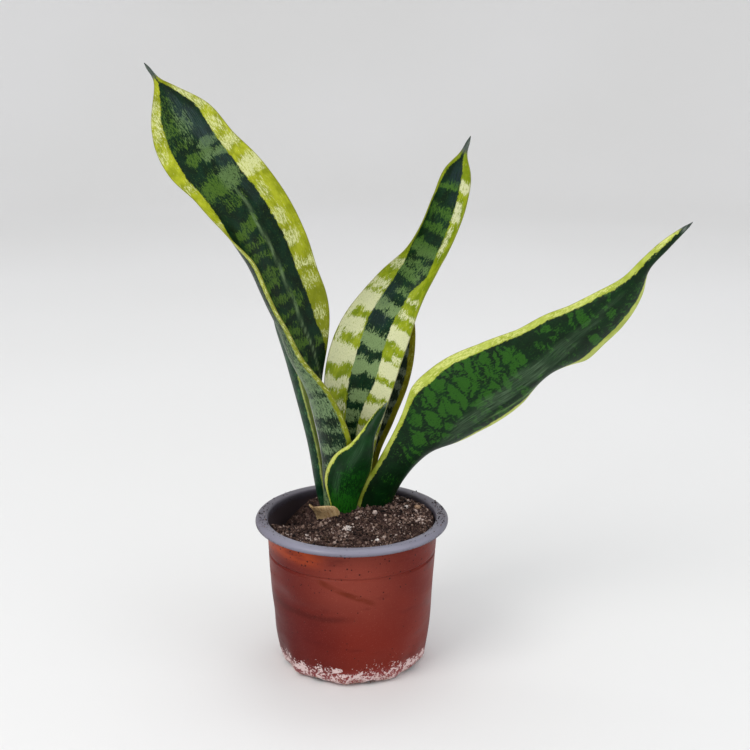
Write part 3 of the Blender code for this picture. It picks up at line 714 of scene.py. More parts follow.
# ------------------------ rhizome and roots
# The fleshy orange-tan stem that the leaves grow from, with its roots, all under the mix. Its CAD body stays and
# takes this finish: blotches and fine rings.
rhizome = Finish("rhizome_fleshy", Roughness=0.6)
blotch = rhizome.noise(rhizome.place, 160.0, 4.0)
rhizome.tone = rhizome.mix(rhizome.step(blotch, 0.35, 0.65), shade(186, 120, 58), shade(214, 168, 104))
rhizome.wear()
rhizome.bump(rhizome.noise(rhizome.squeezed(4), 420.0, 3.0), 0.0004, 0.7)
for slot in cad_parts["rhizome_with_roots"].material_slots:
    slot.material = rhizome.material

# ------------------------ leaf_left
# The tallest leaf. Like every leaf here it is one thick, waxy blade that grows from the rhizome. It starts edge on,
# its left half rolled forward over the rest, and opens into a broad blade that leans left.

# half of a leaf's width in steps, closer together towards the margin.
HALF_STEPS = [
    0.0, 0.05, 0.10, 0.16, 0.22, 0.28, 0.34, 0.40, 0.46, 0.52, 0.58, 0.64, 0.70, 0.76, 0.82, 0.87, 0.91, 0.945,
    0.97, 0.987, 0.996, 1.0,
]
STATION_MM = 1.25
TIP_MM = 4.0
EDGE_ROUND_MM = 0.45
CHANNEL_MM = 0.12
MM = 0.001


def curve_through(knots, values, at):
    """A smooth value at `at`, on a cubic through `values` at `knots`."""
    spans = [b - a for a, b in zip(knots, knots[1:])]
    slopes = [(b - a) / s for a, b, s in zip(values, values[1:], spans)]
    tangents = [slopes[0]]
    for i in range(1, len(knots) - 1):
        before, after = spans[i - 1], spans[i]
        tangents.append((slopes[i - 1] * after + slopes[i] * before) / (before + after))
    tangents.append(slopes[-1])
    i = 0
    while i < len(knots) - 2 and at > knots[i + 1]:
        i += 1
    u = (at - knots[i]) / spans[i]
    return (
        values[i] * (1 + 2 * u) * (1 - u) ** 2
        + spans[i] * tangents[i] * u * (1 - u) ** 2
        + values[i + 1] * u * u * (3 - 2 * u)
        + spans[i] * tangents[i + 1] * u * u * (u - 1)
    )


def marks_at(marks, along, share, rest=0.0):
    """Strongest of the marks; one is (mm along, half length, share across, half width, strength)."""
    value = np.full(along.shape, rest)
    for at, half, across, half_across, strength in marks:
        off = np.abs(along - at) / half
        aside = np.abs(share - across) / half_across
        cover = np.clip((1.75 - off) / 1.25, 0, 1) * np.clip((1.75 - aside) / 0.75, 0, 1)
        cover = cover * cover * (3 - 2 * cover)
        if strength >= 0:
            value = np.maximum(value, cover * strength)
        else:
            value = value * (1 - cover * -strength)
    return value


def reads(pairs, along):
    return np.interp(along, *zip(*pairs))


def make_leaf(name, node, stations, inner, outer, finish, ripple, seed, spine=9.0):
    """A closed leaf through its stations: x, y, z of the midrib from the crown; half widths left and right; the
    way that the inner face looks; curls of the two halves; thickness at the midrib. All in mm and degrees. A look
    of a face has how far its dark centre reaches left and right, as pairs (mm along, share of the half width), and
    its marks: light cross bands, pale spots in the margins, greyer places, places of painted sheen, and a streak."""
    knots = [0.0]
    for a, b in zip(stations, stations[1:]):
        knots.append(knots[-1] + math.dist(a[:3], b[:3]))
    length = knots[-1]
    count = int(length / STATION_MM)
    distances = [length * (i / count) for i in range(count)] + [length - 0.6, length - 0.25, length]
    rows = [[curve_through(knots, column, at) for column in zip(*stations)] for at in distances]
    tapers = [min(1.0, 0.06 + ((length - at) / TIP_MM) ** 0.75) for at in distances]
    middles = [Vector(row[:3]) for row in rows]
    shares = [-s for s in HALF_STEPS[:0:-1]] + HALF_STEPS
    verts = []
    for i, (row, at, taper) in enumerate(zip(rows, distances, tapers)):
        along = (middles[min(i + 1, len(rows) - 1)] - middles[max(i - 1, 0)]).normalized()
        looks = math.radians(row[5])
        facing = Vector((math.sin(looks), -math.cos(looks), 0.0))
        facing = (facing - facing.dot(along) * along).normalized()
        across = along.cross(facing)
        left_over = length - at
        inner_row, outer_row = [], []
        for share in shares:
            side = -1 if share < 0 else 1
            width, curl = (row[3], row[6]) if share < 0 else (row[4], row[7])
            width *= taper
            turn = math.radians(max(curl, 0.5))
            radius = width / turn
            angle = turn * abs(share)
            normal = across * (-side * math.sin(angle)) + facing * math.cos(angle)
            spot = middles[i] + across * (side * radius * math.sin(angle)) + facing * (radius * (1 - math.cos(angle)))
            # thick at the midrib, thin at the margin, with a round edge and a shallow channel down the inner face
            thick = max(row[8] * (1 - 0.72 * abs(share) ** 1.6), min(0.6, row[8])) * min(1.0, 0.25 + taper)
            full = math.sqrt(max(0.0, 1 - max(0.0, 1 - width * (1 - abs(share)) / EDGE_ROUND_MM) ** 2))
            channel = CHANNEL_MM * math.exp(-(share / 0.06) ** 2) * full
            wave = ripple * abs(share) ** 3 * math.sin(at / 6.1 + seed * 5 + side)
            wave *= min(1.0, at / 20) * min(1.0, left_over / 25)
            wave += 0.10 * noise.noise(Vector((share * width / 7, at / 11, seed))) * min(1.0, left_over / 15)
            spot = spot - normal * (thick / 2) + normal * wave
            inner_row.append(spot + normal * (thick / 2 * full - channel))
            outer_row.append(spot - normal * (thick / 2 * full))
        verts += inner_row + outer_row[-2:0:-1]
    ring = 2 * len(shares) - 2
    places = np.array([tuple(v * MM) for v in verts])
    low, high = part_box(node)
    places += np.array((low + high) / 2) - (places.min(0) + places.max(0)) / 2
    bm = bmesh.new()
    made = [bm.verts.new(v) for v in places]
    for i in range(len(rows) - 1):
        for j in range(ring):
            here, there = i * ring + j, i * ring + (j + 1) % ring
            bm.faces.new((made[here], made[here + ring], made[there + ring], made[there]))
    bm.faces.new(made[:ring])
    bm.faces.new(made[-ring:][::-1])
    mesh = mesh_from(name, bm)

    # what each point of the leaf wears: its zone, its bands, its tints
    share = np.array([[*shares, *shares[-2:0:-1]]] * len(rows))
    face = np.array([[0.5] + [1.0] * (len(shares) - 2) + [0.5] + [0.0] * (len(shares) - 2)] * len(rows))
    along = np.repeat(np.array(distances)[:, None], ring, 1)
    halves = np.array([row[3:5] for row in rows])
    width = np.where(share < 0, halves[:, :1], halves[:, 1:]) * np.array(tapers)[:, None]
    across_mm = share * width

    def mottle(wide, long, layer):
        """Soft random values over the leaf, for patches so many mm wide and long."""
        spots = zip(across_mm.ravel(), along.ravel())
        return np.array([noise.noise(Vector((a / wide, b / long, layer))) for a, b in spots]).reshape(share.shape)

    wander = along + (mottle(4.4, 5.0, seed) * 2.6 + mottle(1.6, 2.4, seed + 9) * 1.1)
    aside = mottle(6.0, 5.0, seed + 4) * 0.25
    zones, tints = np.zeros(share.shape + (3,)), np.zeros(share.shape + (3,))
    for look, chosen in ((inner, face > 0.25), (outer, face <= 0.25)):
        limit = np.where(share < 0, reads(look["left"], along), reads(look["right"], along))
        streak = 0.0 * share
        if "streak" in look:
            streak = np.exp(-((share - reads(look["streak"], along)) / look["streak_width"]) ** 2)
            streak *= reads(look["streak_fade"], along)
        zones[chosen] = np.stack([
            (limit - np.abs(share)) * width + aside,
            marks_at(look.get("bands", ()), wander, share, look.get("plain", 0.0)),
            marks_at(look.get("pales", ()), wander, share),
        ], -1)[chosen]
        tints[chosen] = np.stack([
            marks_at(look.get("greys", ()), along, share, look.get("grey_rest", 0.0)),
            streak,
            marks_at(look.get("sheens", ()), along, share),
        ], -1)[chosen]
    to_tip = np.clip((along - (length - spine)) / 2.0, 0, 1)
    for label, values in (
        ("mm", np.stack([across_mm, along, face], -1)),
        ("zones", zones),
        ("tints", tints),
        ("ends", np.stack([width * (1 - np.abs(share)), to_tip, 0 * along], -1)),
    ):
        attribute = mesh.attributes.new(label, "FLOAT_VECTOR", "POINT")
        attribute.data.foreach_set("vector", values.astype(np.float32).ravel())
    piece = new_piece(name, mesh, finish)
    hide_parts(node)
    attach(piece, "root")


def grown(f, grid, wide, long, detail=3.0, roughness=0.6):
    """Noise that follows a leaf's growth, drawn out along it; the grid is (mm across, mm along, layer)."""
    across, along, layer = grid
    return f.noise(f.joined(f.times(across, wide), f.times(along, long), layer), 1.0, detail, roughness)


def leaf_finish(
    name, dark, dark_cool, mid, grey, lime, lime_deep, cream, sheen, seed, cells=False, soft=0.0, olive_below=0.0,
):
    """Waxy leaf: dark centre with lighter cross bands, yellow-green margins with cream in them."""
    f = Finish(name, Specular_IOR_Level=0.17)
    across, along, face = f.parts("mm")
    depth, band, pale = f.parts("zones")
    greyness, streak, shining = f.parts("tints")
    edge, spine, _ = f.parts("ends")
    grid = (across, along, f.plus(f.times(face, 40.0), seed))
    fibre = grown(f, grid, 1.5, 0.36, 4.0, 0.66)
    fleck = grown(f, grid, 3.2, 1.1)
    thread = grown(f, grid, 3.4, 0.10)
    cloud = grown(f, grid, 0.22, 0.13, roughness=0.55)
    ragged = f.plus(f.times(f.less(fibre, 0.5), 2.6), f.times(f.less(fleck, 0.5), 1.4))
    if cells:
        # a dark net between rounded green cells
        bent_across = f.plus(f.times(across, 0.085), f.times(ragged, 0.10))
        bent = f.joined(bent_across, f.plus(f.times(along, 0.19), f.times(cloud, 1.6)), grid[2])
        net = f.node("TexVoronoi", {"feature": "DISTANCE_TO_EDGE"}, Vector=bent, Scale=1.0, Randomness=0.85)
        band = f.less(band, f.step(net.outputs["Distance"], 0.20, 0.02, 0.0, 0.62))
    # the dark centre: deep green, with lighter or greyer bands and a painted fibrous sheen
    banded = f.step(f.plus(band, ragged), 0.38 - soft, 0.66 + soft)
    deep = f.mix(f.step(cloud, 0.35, 0.65), shade(*dark), shade(*dark_cool))
    deep = f.mix(f.step(fleck, 0.56, 0.74, 0.0, 0.45), deep, shade(*mid))
    light = f.mix(greyness, shade(*mid), shade(*grey))
    light = f.mix(f.step(fleck, 0.30, 0.56, 0.40, 0.0), light, shade(*dark_cool))
    inside = f.mix(banded, deep, light)
    # painted sheen: a reflection laid into the colour in fibrous streaks
    inside = f.mix(f.times(shining, f.step(thread, 0.40, 0.62, 0.12, 0.80)), inside, shade(*sheen))
    # the margins: yellow-green, with cream where the bands run out into them
    creamy = f.step(f.plus(pale, ragged), 0.36 - soft, 0.72 + soft)
    f.tone = f.mix(f.step(cloud, 0.38, 0.62), shade(*lime_deep), shade(*lime))
    f.coat(f.step(fibre, 0.36, 0.56, 0.45, 0.0), *lime_deep)
    if olive_below:
        f.coat(f.step(along, olive_below, olive_below - 70.0, 0.0, 0.75), 118, 128, 12)
    f.coat(f.times(creamy, f.step(fleck, 0.34, 0.52, 0.62, 0.94)), *cream)
    # both together, with the streak, the thin brown edge and the dry spine at the tip
    f.tone = f.mix(f.step(f.plus(depth, ragged), -0.18, 0.18), f.tone, inside)
    f.coat(f.times(streak, f.step(fibre, 0.30, 0.52, 0.25, 0.85)), *grey)
    f.coat(f.step(edge, 0.42, 0.16, 0.0, 0.5), 112, 106, 52)
    f.tone = f.mix(spine, f.tone, f.mix(f.step(thread, 0.4, 0.6), shade(44, 56, 50), shade(104, 114, 106)))
    f.wear(f.plus(f.step(fibre, 0.3, 0.7, 0.31, 0.45), f.times(creamy, 0.03)))
    f.bump(f.plus(thread, f.times(fleck, 0.25)), 0.00016, 0.75)
    return f


# each station: midrib x, y, z; half widths left and right; the way it faces; curls left and right; thickness
LEFT = [
    (-9.5, -2.5, 0.6, 6, 5, 105, 75, 60, 2.7),
    (-10.6, -2.5, 22.5, 9.6, 7, 108, 74, 60, 2.6),
    (-11.8, -2.5, 48, 15.6, 7.5, 114, 75, 58, 2.4),
    (-17.3, -2.5, 73, 16.6, 10, 94, 80, 50, 2.3),
    (-24.5, -1.5, 97, 19.3, 16.5, 50, 100, 42, 2.2),
    (-28.5, -0.5, 114.5, 21.5, 19.5, 36, 103, 40, 2),
    (-33.5, -0.5, 129.5, 22.4, 19.4, 26, 111, 40, 1.9),
    (-38.5, 0.5, 145, 24.6, 19.5, 15, 119, 35, 1.8),
    (-46.5, 1.5, 160.5, 19.2, 20.3, 6, 84, 32, 1.7),
    (-56.5, 2.5, 173.5, 16.3, 20.8, 0, 45, 30, 1.6),
    (-65.5, 3.5, 186.5, 19.1, 18, -3, 38, 28, 1.5),
    (-74.5, 4.5, 202, 16.2, 14.2, -5, 35, 28, 1.4),
    (-82, 5.5, 214, 7, 4.7, -5, 40, 40, 1.4),
    (-85.5, 5.5, 218.5, 1.8, 1.6, -5, 60, 60, 1.2),
    (-91, 5.5, 226, 0.5, 0.5, -5, 60, 60, 0.6),
]
left_inner = {
    "left": [
        (0, 0.88), (60, 0.88), (90, 0.85), (110, 0.84), (140, 0.86), (160, 0.82), (172, 0.74), (190, 0.72),
        (200, 0.66), (220, 0.63), (230, 0.48), (238, 0.1),
    ],
    "right": [
        (0, 1.1), (88, 1.05), (100, 0.83), (110, 0.62), (120, 0.56), (140, 0.51), (160, 0.465), (180, 0.465),
        (200, 0.53), (210, 0.54), (220, 0.68), (230, 0.6), (238, 0.1),
    ],
    "bands": [
        (222, 6, -0.35, 0.25, 0.42), (214, 4, -0.25, 0.35, 0.55), (202, 2, 0.3, 0.25, 0.8),
        (198, 2.2, -0.1, 0.28, 0.72), (195, 1.8, 0.25, 0.25, 0.74), (206, 2.5, -0.35, 0.25, 0.45),
        (183, 5, -0.15, 0.42, 0.74), (184, 4.2, 0.22, 0.16, 0.7), (173, 3, -0.1, 0.22, 0.48),
        (161, 2.2, -0.1, 0.16, 0.72), (157, 2.4, -0.38, 0.12, 0.75), (151, 2, -0.2, 0.22, 0.52),
        (145, 1.6, -0.15, 0.2, 0.58), (136, 1.8, -0.05, 0.25, 0.6), (131, 2.4, -0.18, 0.16, 0.74),
        (123, 2.2, 0.02, 0.25, 0.6), (121, 3.5, 0.32, 0.1, 0.55), (115, 1.6, -0.05, 0.2, 0.58),
        (107, 2.4, 0.02, 0.18, 0.66), (100, 2.4, 0.15, 0.22, 0.74), (99, 2.4, 0.75, 0.12, 0.62),
        (93, 2.2, 0.1, 0.15, 0.66), (86, 2, 0.4, 0.3, 0.55),
    ],
    # greyer places; from 206 to 222 mm the grey is partly the leaf's own, partly painted sheen
    "greys": [
        (184, 7, 0.28, 0.24, 0.45), (202, 3, 0.3, 0.3, 0.6), (195, 3, 0.3, 0.3, 0.6), (214, 8, 0.1, 0.25, 0.6),
    ],
    "pales": [
        (226, 4, 0.7, 0.5, 0.64), (218, 3.5, 0.82, 0.2, 0.58), (207, 4, 0.7, 0.18, 0.56),
        (197, 3, 0.72, 0.25, 0.62), (182, 4.2, 0.7, 0.35, 0.8), (170, 3, 0.56, 0.12, 0.48),
        (158, 3.5, 0.58, 0.14, 0.58), (148, 3, 0.58, 0.2, 0.64), (136, 3, 0.74, 0.25, 0.58),
        (127, 2.6, 0.72, 0.2, 0.46), (112, 2.5, 0.72, 0.16, 0.53), (102, 2.2, 0.82, 0.14, 0.48),
        (221, 9, -0.85, 0.2, 0.53), (206, 3, -0.88, 0.12, 0.44), (189, 3, -0.85, 0.14, 0.44),
        (168, 3, -0.86, 0.14, 0.48),
    ],
    "streak": [
        (0, 1.4), (80, 0.9), (90, 0.62), (100, 0.45), (110, 0.26), (120, 0.2), (130, 0.18), (140, 0.13),
        (150, 0.08), (160, 0.05), (170, 0.1), (182, 0.1),
    ],
    "streak_width": 0.024,
    "streak_fade": [(0, 1), (160, 1), (172, 0.6), (182, 0)],
    # painted sheen: a blue-grey reflection high on the right half of the inner face
    "sheens": [
        (222, 6, 0.08, 0.16, 0.8), (213, 6, 0.22, 0.18, 0.85), (205, 5, 0.3, 0.16, 0.8),
        (191, 3.5, 0.35, 0.16, 0.55), (173, 6, 0.36, 0.08, 0.35),
    ],
}
left_outer = {
    "left": [(0, 0.8), (60, 0.86), (90, 0.88), (150, 0.9), (180, 0.8), (236, 0.2)],
    "right": [(0, 0.9), (120, 0.75), (180, 0.6), (236, 0.2)],
    "plain": 0.66,
    "grey_rest": 1,
    "bands": [
        (34, 5, -0.5, 1, -0.85), (45, 2.6, -0.5, 1, -0.8), (55, 2.8, -0.5, 1, -0.85), (63, 2, -0.5, 1, -0.75),
        (77.5, 1.4, -0.5, 1, -0.45), (112, 16, -0.5, 1.2, -0.35), (150, 26, -0.5, 1.2, -0.8),
    ],
    "pales": [(150, 70, -0.95, 0.1, 0.35)],
}
leaf_left_green = leaf_finish(
    "leaf_left_green", dark=(3, 26, 9), dark_cool=(6, 42, 24), mid=(74, 106, 32), grey=(116, 142, 98),
    lime=(184, 192, 42), lime_deep=(144, 154, 18), cream=(224, 228, 166), sheen=(58, 76, 80),
    seed=0.0, soft=0.10, olive_below=170.0,
)
make_leaf("snake_leaf_left", "leaf_left", LEFT, left_inner, left_outer, leaf_left_green, ripple=0.12, seed=1.0)

# ------------------------ leaf_centre
# The middle leaf: a thick waxy blade with broad cream and olive cross bands on both sides of a dark centre, leaning
# right to a sharp tip.
CENTRE = [
    (0, 3, 0.6, 6, 6, -5, 40, 40, 2.6),
    (-1, 3.5, 20.5, 8, 9, -8, 45, 45, 2.5),
    (-1, 4, 45.5, 10.3, 12.5, -12, 45, 45, 2.4),
    (0.5, 4.5, 63, 14, 16, -14, 45, 42, 2.2),
    (3.5, 4.5, 83, 17, 18.5, -12, 38, 38, 2.1),
    (11, 5.5, 104, 18, 17.5, -6, 38, 45, 2),
    (22, 6.5, 124.5, 14.2, 15, 0, 50, 75, 1.8),
    (31.5, 8.5, 137.5, 11.8, 13.5, 0, 70, 95, 1.7),
    (40, 9.5, 151.5, 11.5, 10.8, -5, 80, 80, 1.6),
    (45.5, 10.5, 165, 10.3, 8.9, -8, 70, 60, 1.5),
    (48.5, 11.5, 178, 6.7, 6.6, -8, 55, 55, 1.4),
    (51, 12.5, 186, 1.6, 1.6, -8, 60, 60, 1.1),
    (54, 13.5, 193.5, 0.5, 0.5, -8, 60, 60, 0.6),
]
centre_inner = {
    "left": [
        (0, 0.3), (60, 0.3), (80, 0.27), (90, 0.25), (100, 0.28), (110, 0.35), (130, 0.36), (140, 0.5), (150, 0.85),
        (160, 0.96), (172, 0.96), (180, 0.88), (190, 0.76), (196, 0.3),
    ],
    "right": [
        (0, 0.1), (60, 0.15), (70, 0.27), (80, 0.41), (90, 0.43), (100, 0.36), (110, 0.31), (120, 0.34),
        (130, 0.36), (140, 0.55), (150, 0.4), (160, 0.37), (170, 0.3), (180, 0.28), (190, 0.3), (196, 0.1),
    ],
    "bands": [
        (181, 1.8, -0.3, 0.42, 0.8), (169, 3, -0.25, 0.45, 0.62), (161, 2.6, -0.15, 0.5, 0.68),
        (150, 3.2, -0.1, 0.5, 0.82), (142, 2.2, 0.05, 0.4, 0.66), (136, 2.6, -0.15, 0.4, 0.7),
        (128, 2, 0.18, 0.2, 0.62), (118, 2.8, 0.02, 0.32, 0.9), (101, 3.4, 0.02, 0.28, 0.92),
        (87.5, 3.3, 0.05, 0.34, 0.98), (73, 3.2, 0.05, 0.2, 0.9), (63, 2.6, -0.1, 0.22, 0.75),
        (55, 2.5, -0.05, 0.2, 0.6), (46, 3, 0, 0.2, 0.6),
    ],
    "greys": [(100, 24, 0, 1, 0.85), (142, 8, 0, 1, 0.25), (73, 20, 0, 1, 0.85)],
    "pales": [
        (137, 2.6, -0.75, 0.25, 0.68), (126, 2.4, -0.7, 0.3, 0.72), (117, 4, -0.68, 0.3, 1.1),
        (104, 3.6, -0.76, 0.3, 1.05), (112, 4, -0.92, 0.06, 0.9), (98, 3, -0.9, 0.06, 0.8),
        (90.5, 4, -0.64, 0.36, 1.1), (77.5, 2.6, -0.64, 0.36, 0.86), (66.5, 2.4, -0.5, 0.3, 0.7),
        (57, 2.5, -0.6, 0.4, 0.6), (157, 7, 0.52, 0.1, 0.62), (168, 2.2, 0.58, 0.2, 0.95),
        (173, 2, 0.52, 0.18, 0.85), (182, 2.4, 0.66, 0.3, 0.85), (126, 1.8, 0.62, 0.2, 0.62),
        (118, 2, 0.72, 0.3, 0.68), (108, 3.4, 0.66, 0.32, 1.1), (97, 1.8, 0.84, 0.14, 0.75),
        (90, 3.6, 0.7, 0.3, 1.1), (78.5, 3.4, 0.66, 0.34, 1.1), (67, 3.6, 0.56, 0.36, 1), (56, 2.5, 0.5, 0.4, 0.7),
    ],
    # painted sheen: bluish-black reflections at mid-height and near the tip
    "sheens": [
        (124, 6, -0.2, 0.14, 0.65), (111, 3.2, -0.12, 0.22, 0.75), (95, 1.6, -0.12, 0.12, 0.3),
        (188, 4.5, 0.02, 0.3, 0.85), (176, 2.5, 0.12, 0.16, 0.7), (184, 2, 0.15, 0.15, 0.8),
    ],
}
centre_outer = {
    "left": [(0, 0.7), (196, 0.7)],
    "right": [(0, 0.7), (196, 0.7)],
    "plain": 0.35,
    "grey_rest": 0.7,
    "bands": [(20 * i + 12, 3.0, 0.0, 1.2, 0.95) for i in range(9)],
    "pales": [(14 * i + 50, 3.2, 0.0, 1.5, 0.90) for i in range(8)],
}
leaf_centre_green = leaf_finish(
    "leaf_centre_green", dark=(3, 32, 10), dark_cool=(6, 46, 24), mid=(72, 112, 36), grey=(136, 160, 108),
    lime=(160, 174, 34), lime_deep=(122, 142, 14), cream=(226, 228, 184), sheen=(36, 52, 62), seed=11.0, soft=0.06,
)
make_leaf(
    "snake_leaf_centre", "leaf_centre", CENTRE, centre_inner, centre_outer, leaf_centre_green, ripple=0.12, seed=2.0,
)

# ------------------------ leaf_right
# The leaf that reaches far right with its back to the front: dark network round rounded green blotches, a pale
# fibrous sheen painted down the keel, light margins that turn into view, and a thin twisted tip.
RIGHT = [
    (8.5, -4, 0.6, 5, 5.5, -158, 60, 30, 2.7),
    (14, -4.5, 24, 8, 12, -158, 70, 30, 2.6),
    (21.5, -8, 39, 7, 11.4, -162, 90, 32, 2.5),
    (32.5, -11, 53, 8, 16.2, -168, 80, 32, 2.4),
    (42, -13, 61, 12, 25, -170, 55, 30, 2.3),
    (52.5, -14.5, 69, 13.5, 27.5, -172, 50, 28, 2.2),
    (72, -16.5, 82, 12, 25.6, -172, 52, 25, 2),
    (86, -18.5, 93, 8.8, 21.6, -172, 85, 25, 1.9),
    (96.5, -19.5, 103.5, 16.6, 17.6, -170, 55, 28, 1.8),
    (105.5, -20.5, 111.5, 15.6, 13.6, -168, 50, 30, 1.7),
    (115, -21.5, 120.5, 13.6, 10.3, -165, 45, 45, 1.6),
    (123.5, -22.5, 130, 8.6, 6.7, -160, 40, 60, 1.5),
    (130, -23.5, 140.5, 2.6, 4, -150, 50, 80, 1.4),
    (137, -24.5, 148.5, 1.8, 3.4, -140, 70, 80, 1.3),
    (148, -25.5, 160, 0.5, 0.5, -140, 60, 60, 0.6),
]
right_outer = {
    "left": [(0, 0.85), (60, 0.8), (80, 0.76), (118, 0.74), (135, 0.64), (185, 0.6), (204, 0.5)],
    "right": [
        (0, 0.8), (41, 0.8), (60, 0.85), (72, 0.85), (80, 0.81), (90, 0.85), (110, 0.86), (126, 0.86), (141, 0.83),
        (153, 0.8), (166, 0.74), (179, 0.62), (192, 0.4), (202, 0.42), (210, 0.55),
    ],
    "bands": [
        (92, 26, 0.46, 0.32, 0.92), (66, 14, 0.25, 0.35, 0.8), (150, 20, 0.45, 0.25, 0.7),
        (130, 60, -0.35, 0.26, 0.52), (128, 5, 0.4, 0.5, -0.5), (40, 24, 0.2, 0.8, 0.34),
        (93, 3.6, 0.68, 0.09, 1.1), (103.5, 2.6, 0.7, 0.08, 1.1), (96, 4.4, 0.42, 0.11, 1.2),
        (107, 3.2, 0.45, 0.11, 1.15), (119, 4.4, 0.49, 0.15, 1.2), (122, 2.6, 0.66, 0.08, 0.9),
        (84, 2.6, 0.63, 0.09, 1.05), (79, 3.4, 0.44, 0.1, 1.1), (87, 3.8, 0.28, 0.1, 1.1),
        (74, 2.4, 0.36, 0.09, 0.95), (68, 2.4, 0.48, 0.12, 0.95), (65.5, 2.8, 0.28, 0.1, 0.85),
        (60, 1.8, 0.36, 0.12, 0.75), (112, 2.4, 0.24, 0.08, 0.7), (144, 3.4, 0.5, 0.1, 0.95),
        (152, 2.4, 0.52, 0.08, 0.7), (152.5, 2.6, -0.38, 0.14, 1), (158, 2.2, -0.12, 0.12, 0.7),
        (166, 2.4, -0.15, 0.16, 0.75), (133, 3, 0.3, 0.14, 0.45), (90, 7, -0.5, 0.16, 0.72),
        (112, 6, -0.5, 0.2, 0.6), (172, 2.5, -0.3, 0.2, 0.6), (52, 2, 0.35, 0.2, 0.5), (45, 1.6, 0.3, 0.2, 0.5),
    ],
    "pales": [
        (74, 3, 0.92, 0.1, 0.55), (96, 12, 0.93, 0.06, 0.55), (124, 10, 0.93, 0.06, 0.5), (160, 18, 0.9, 0.1, 0.5),
        (85, 40, -0.93, 0.08, 0.5), (206, 6, 0.8, 0.5, 0.6),
    ],
    # painted sheen: silvery streaks of reflection down the keel
    "sheens": [
        (75, 6, -0.28, 0.1, 0.55), (86, 8, -0.16, 0.14, 0.75), (102, 9, -0.06, 0.13, 0.8), (120, 9, 0, 0.16, 0.8),
        (137, 8, 0.02, 0.14, 0.55), (153, 8, 0.1, 0.1, 0.36), (168, 7, 0.22, 0.08, 0.28),
    ],
    "streak": [(0, -0.5), (95, -0.46), (118, -0.6), (130, -0.7)],
    "streak_width": 0.035,
    "streak_fade": [(90, 0), (98, 0.8), (118, 0.9), (124, 0)],
}
right_inner = {
    "left": [(0, 0.82), (179, 0.75), (204, 0.5)],
    "right": [(0, 0.82), (110, 0.86), (166, 0.74), (204, 0.45)],
    "plain": 0.25,
    "grey_rest": 0.6,
    "bands": [(11 * i + 40, 2.6, 0.0, 1.2, 0.95) for i in range(13)],
    "pales": [(16 * i + 50, 3.0, 0.0, 1.5, 0.7) for i in range(9)],
}
leaf_right_green = leaf_finish(
    "leaf_right_green", dark=(3, 29, 8), dark_cool=(4, 41, 12), mid=(40, 90, 18), grey=(110, 150, 80),
    lime=(190, 202, 92), lime_deep=(160, 174, 52), cream=(216, 222, 132), sheen=(88, 114, 84), seed=23.0, cells=True,
)
make_leaf(
    "snake_leaf_right", "leaf_right", RIGHT, right_inner, right_outer, leaf_right_green,
    ripple=0.10, seed=3.0, spine=7.0,
)

# ------------------------ leaf_back_left
# A narrow leaf half hidden behind the tallest one: a plain dark green blade with a thin light margin, the same on
# both faces.
BACK_LEFT = [
    (-9.5, 7.5, 0.6, 4, 4, 100, 60, 60, 1.9),
    (-15, 11, 19.5, 6, 6.5, 100, 46, 65, 1.9),
    (-20, 11.5, 48.5, 6.8, 9, 100, 42, 65, 1.8),
    (-25.5, 12, 71.5, 8, 10, 98, 40, 55, 1.7),
    (-30.5, 12.5, 90.5, 9.5, 10, 95, 38, 50, 1.6),
    (-34.5, 13, 104.5, 8, 8, 85, 38, 40, 1.5),
    (-37, 13.5, 116.5, 4, 4, 80, 50, 40, 1.2),
    (-39, 14.5, 124, 0.5, 0.5, 80, 50, 40, 0.6),
]
plain_look = {
    "left": [(0, 0.88), (110, 0.86), (124, 0.5)],
    "right": [(0, 0.86), (124, 0.6)],
    "bands": [(9 * i + 20, 2.0, 0.0, 1.0, 0.40) for i in range(11)],
    "pales": [(60, 50, -0.95, 0.1, 0.4)],
}
leaf_back_left_green = leaf_finish(
    "leaf_back_left_green", dark=(6, 40, 18), dark_cool=(10, 56, 32), mid=(52, 98, 56), grey=(112, 140, 116),
    lime=(156, 172, 84), lime_deep=(124, 144, 60), cream=(196, 204, 132), sheen=(70, 96, 90), seed=31.0,
)
make_leaf(
    "snake_leaf_back_left", "leaf_back_left", BACK_LEFT, plain_look, plain_look, leaf_back_left_green,
    ripple=0.08, seed=4.0, spine=4.0,
)

# ------------------------ leaf_back_right
# A leaf behind the middle one: its right edge shows as a grey mottled strip with a broad olive-yellow margin, its
# yellow darkened to olive by painted shade. Its back is banded like the middle leaf's.
BACK_RIGHT = [
    (3.5, 8.5, 0.6, 4.5, 4.5, -8, 35, 35, 2.1),
    (4, 11.5, 17.5, 7, 7, -8, 35, 35, 2.1),
    (6, 12.5, 42.5, 9, 7.4, -8, 35, 30, 2),
    (10.5, 13.5, 62.5, 11, 10.9, -10, 30, 30, 1.9),
    (15.5, 14.5, 82.5, 12, 13.3, -10, 30, 30, 1.8),
    (20.5, 15.5, 99.5, 11, 10.5, -10, 30, 30, 1.6),
    (23.5, 15.5, 112, 6.5, 6, -8, 30, 30, 1.4),
    (26, 15.5, 120, 0.5, 0.5, -8, 30, 30, 0.6),
]
back_right_inner = {
    "left": [(0, 0.7), (120, 0.6)],
    "right": [(0, 0.55), (45, 0.66), (62, 0.74), (82, 0.8), (100, 0.72), (120, 0.4)],
    "bands": [(8 * i + 14, 2.4, 0.5, 0.8, 0.72) for i in range(13)],
    "grey_rest": 0.9,
    "pales": [(90, 12, 0.9, 0.12, 0.35)],
}
# painted shade: the margin's lime and cream are a darker olive than on the other leaves
leaf_back_right_green = leaf_finish(
    "leaf_back_right_green", dark=(30, 40, 32), dark_cool=(40, 54, 46), mid=(76, 96, 62), grey=(128, 136, 122),
    lime=(158, 152, 36), lime_deep=(128, 122, 20), cream=(190, 188, 92), sheen=(80, 92, 90), seed=41.0,
)
make_leaf(
    "snake_leaf_back_right", "leaf_back_right", BACK_RIGHT, back_right_inner, centre_outer, leaf_back_right_green,
    ripple=0.08, seed=5.0, spine=4.0,
)

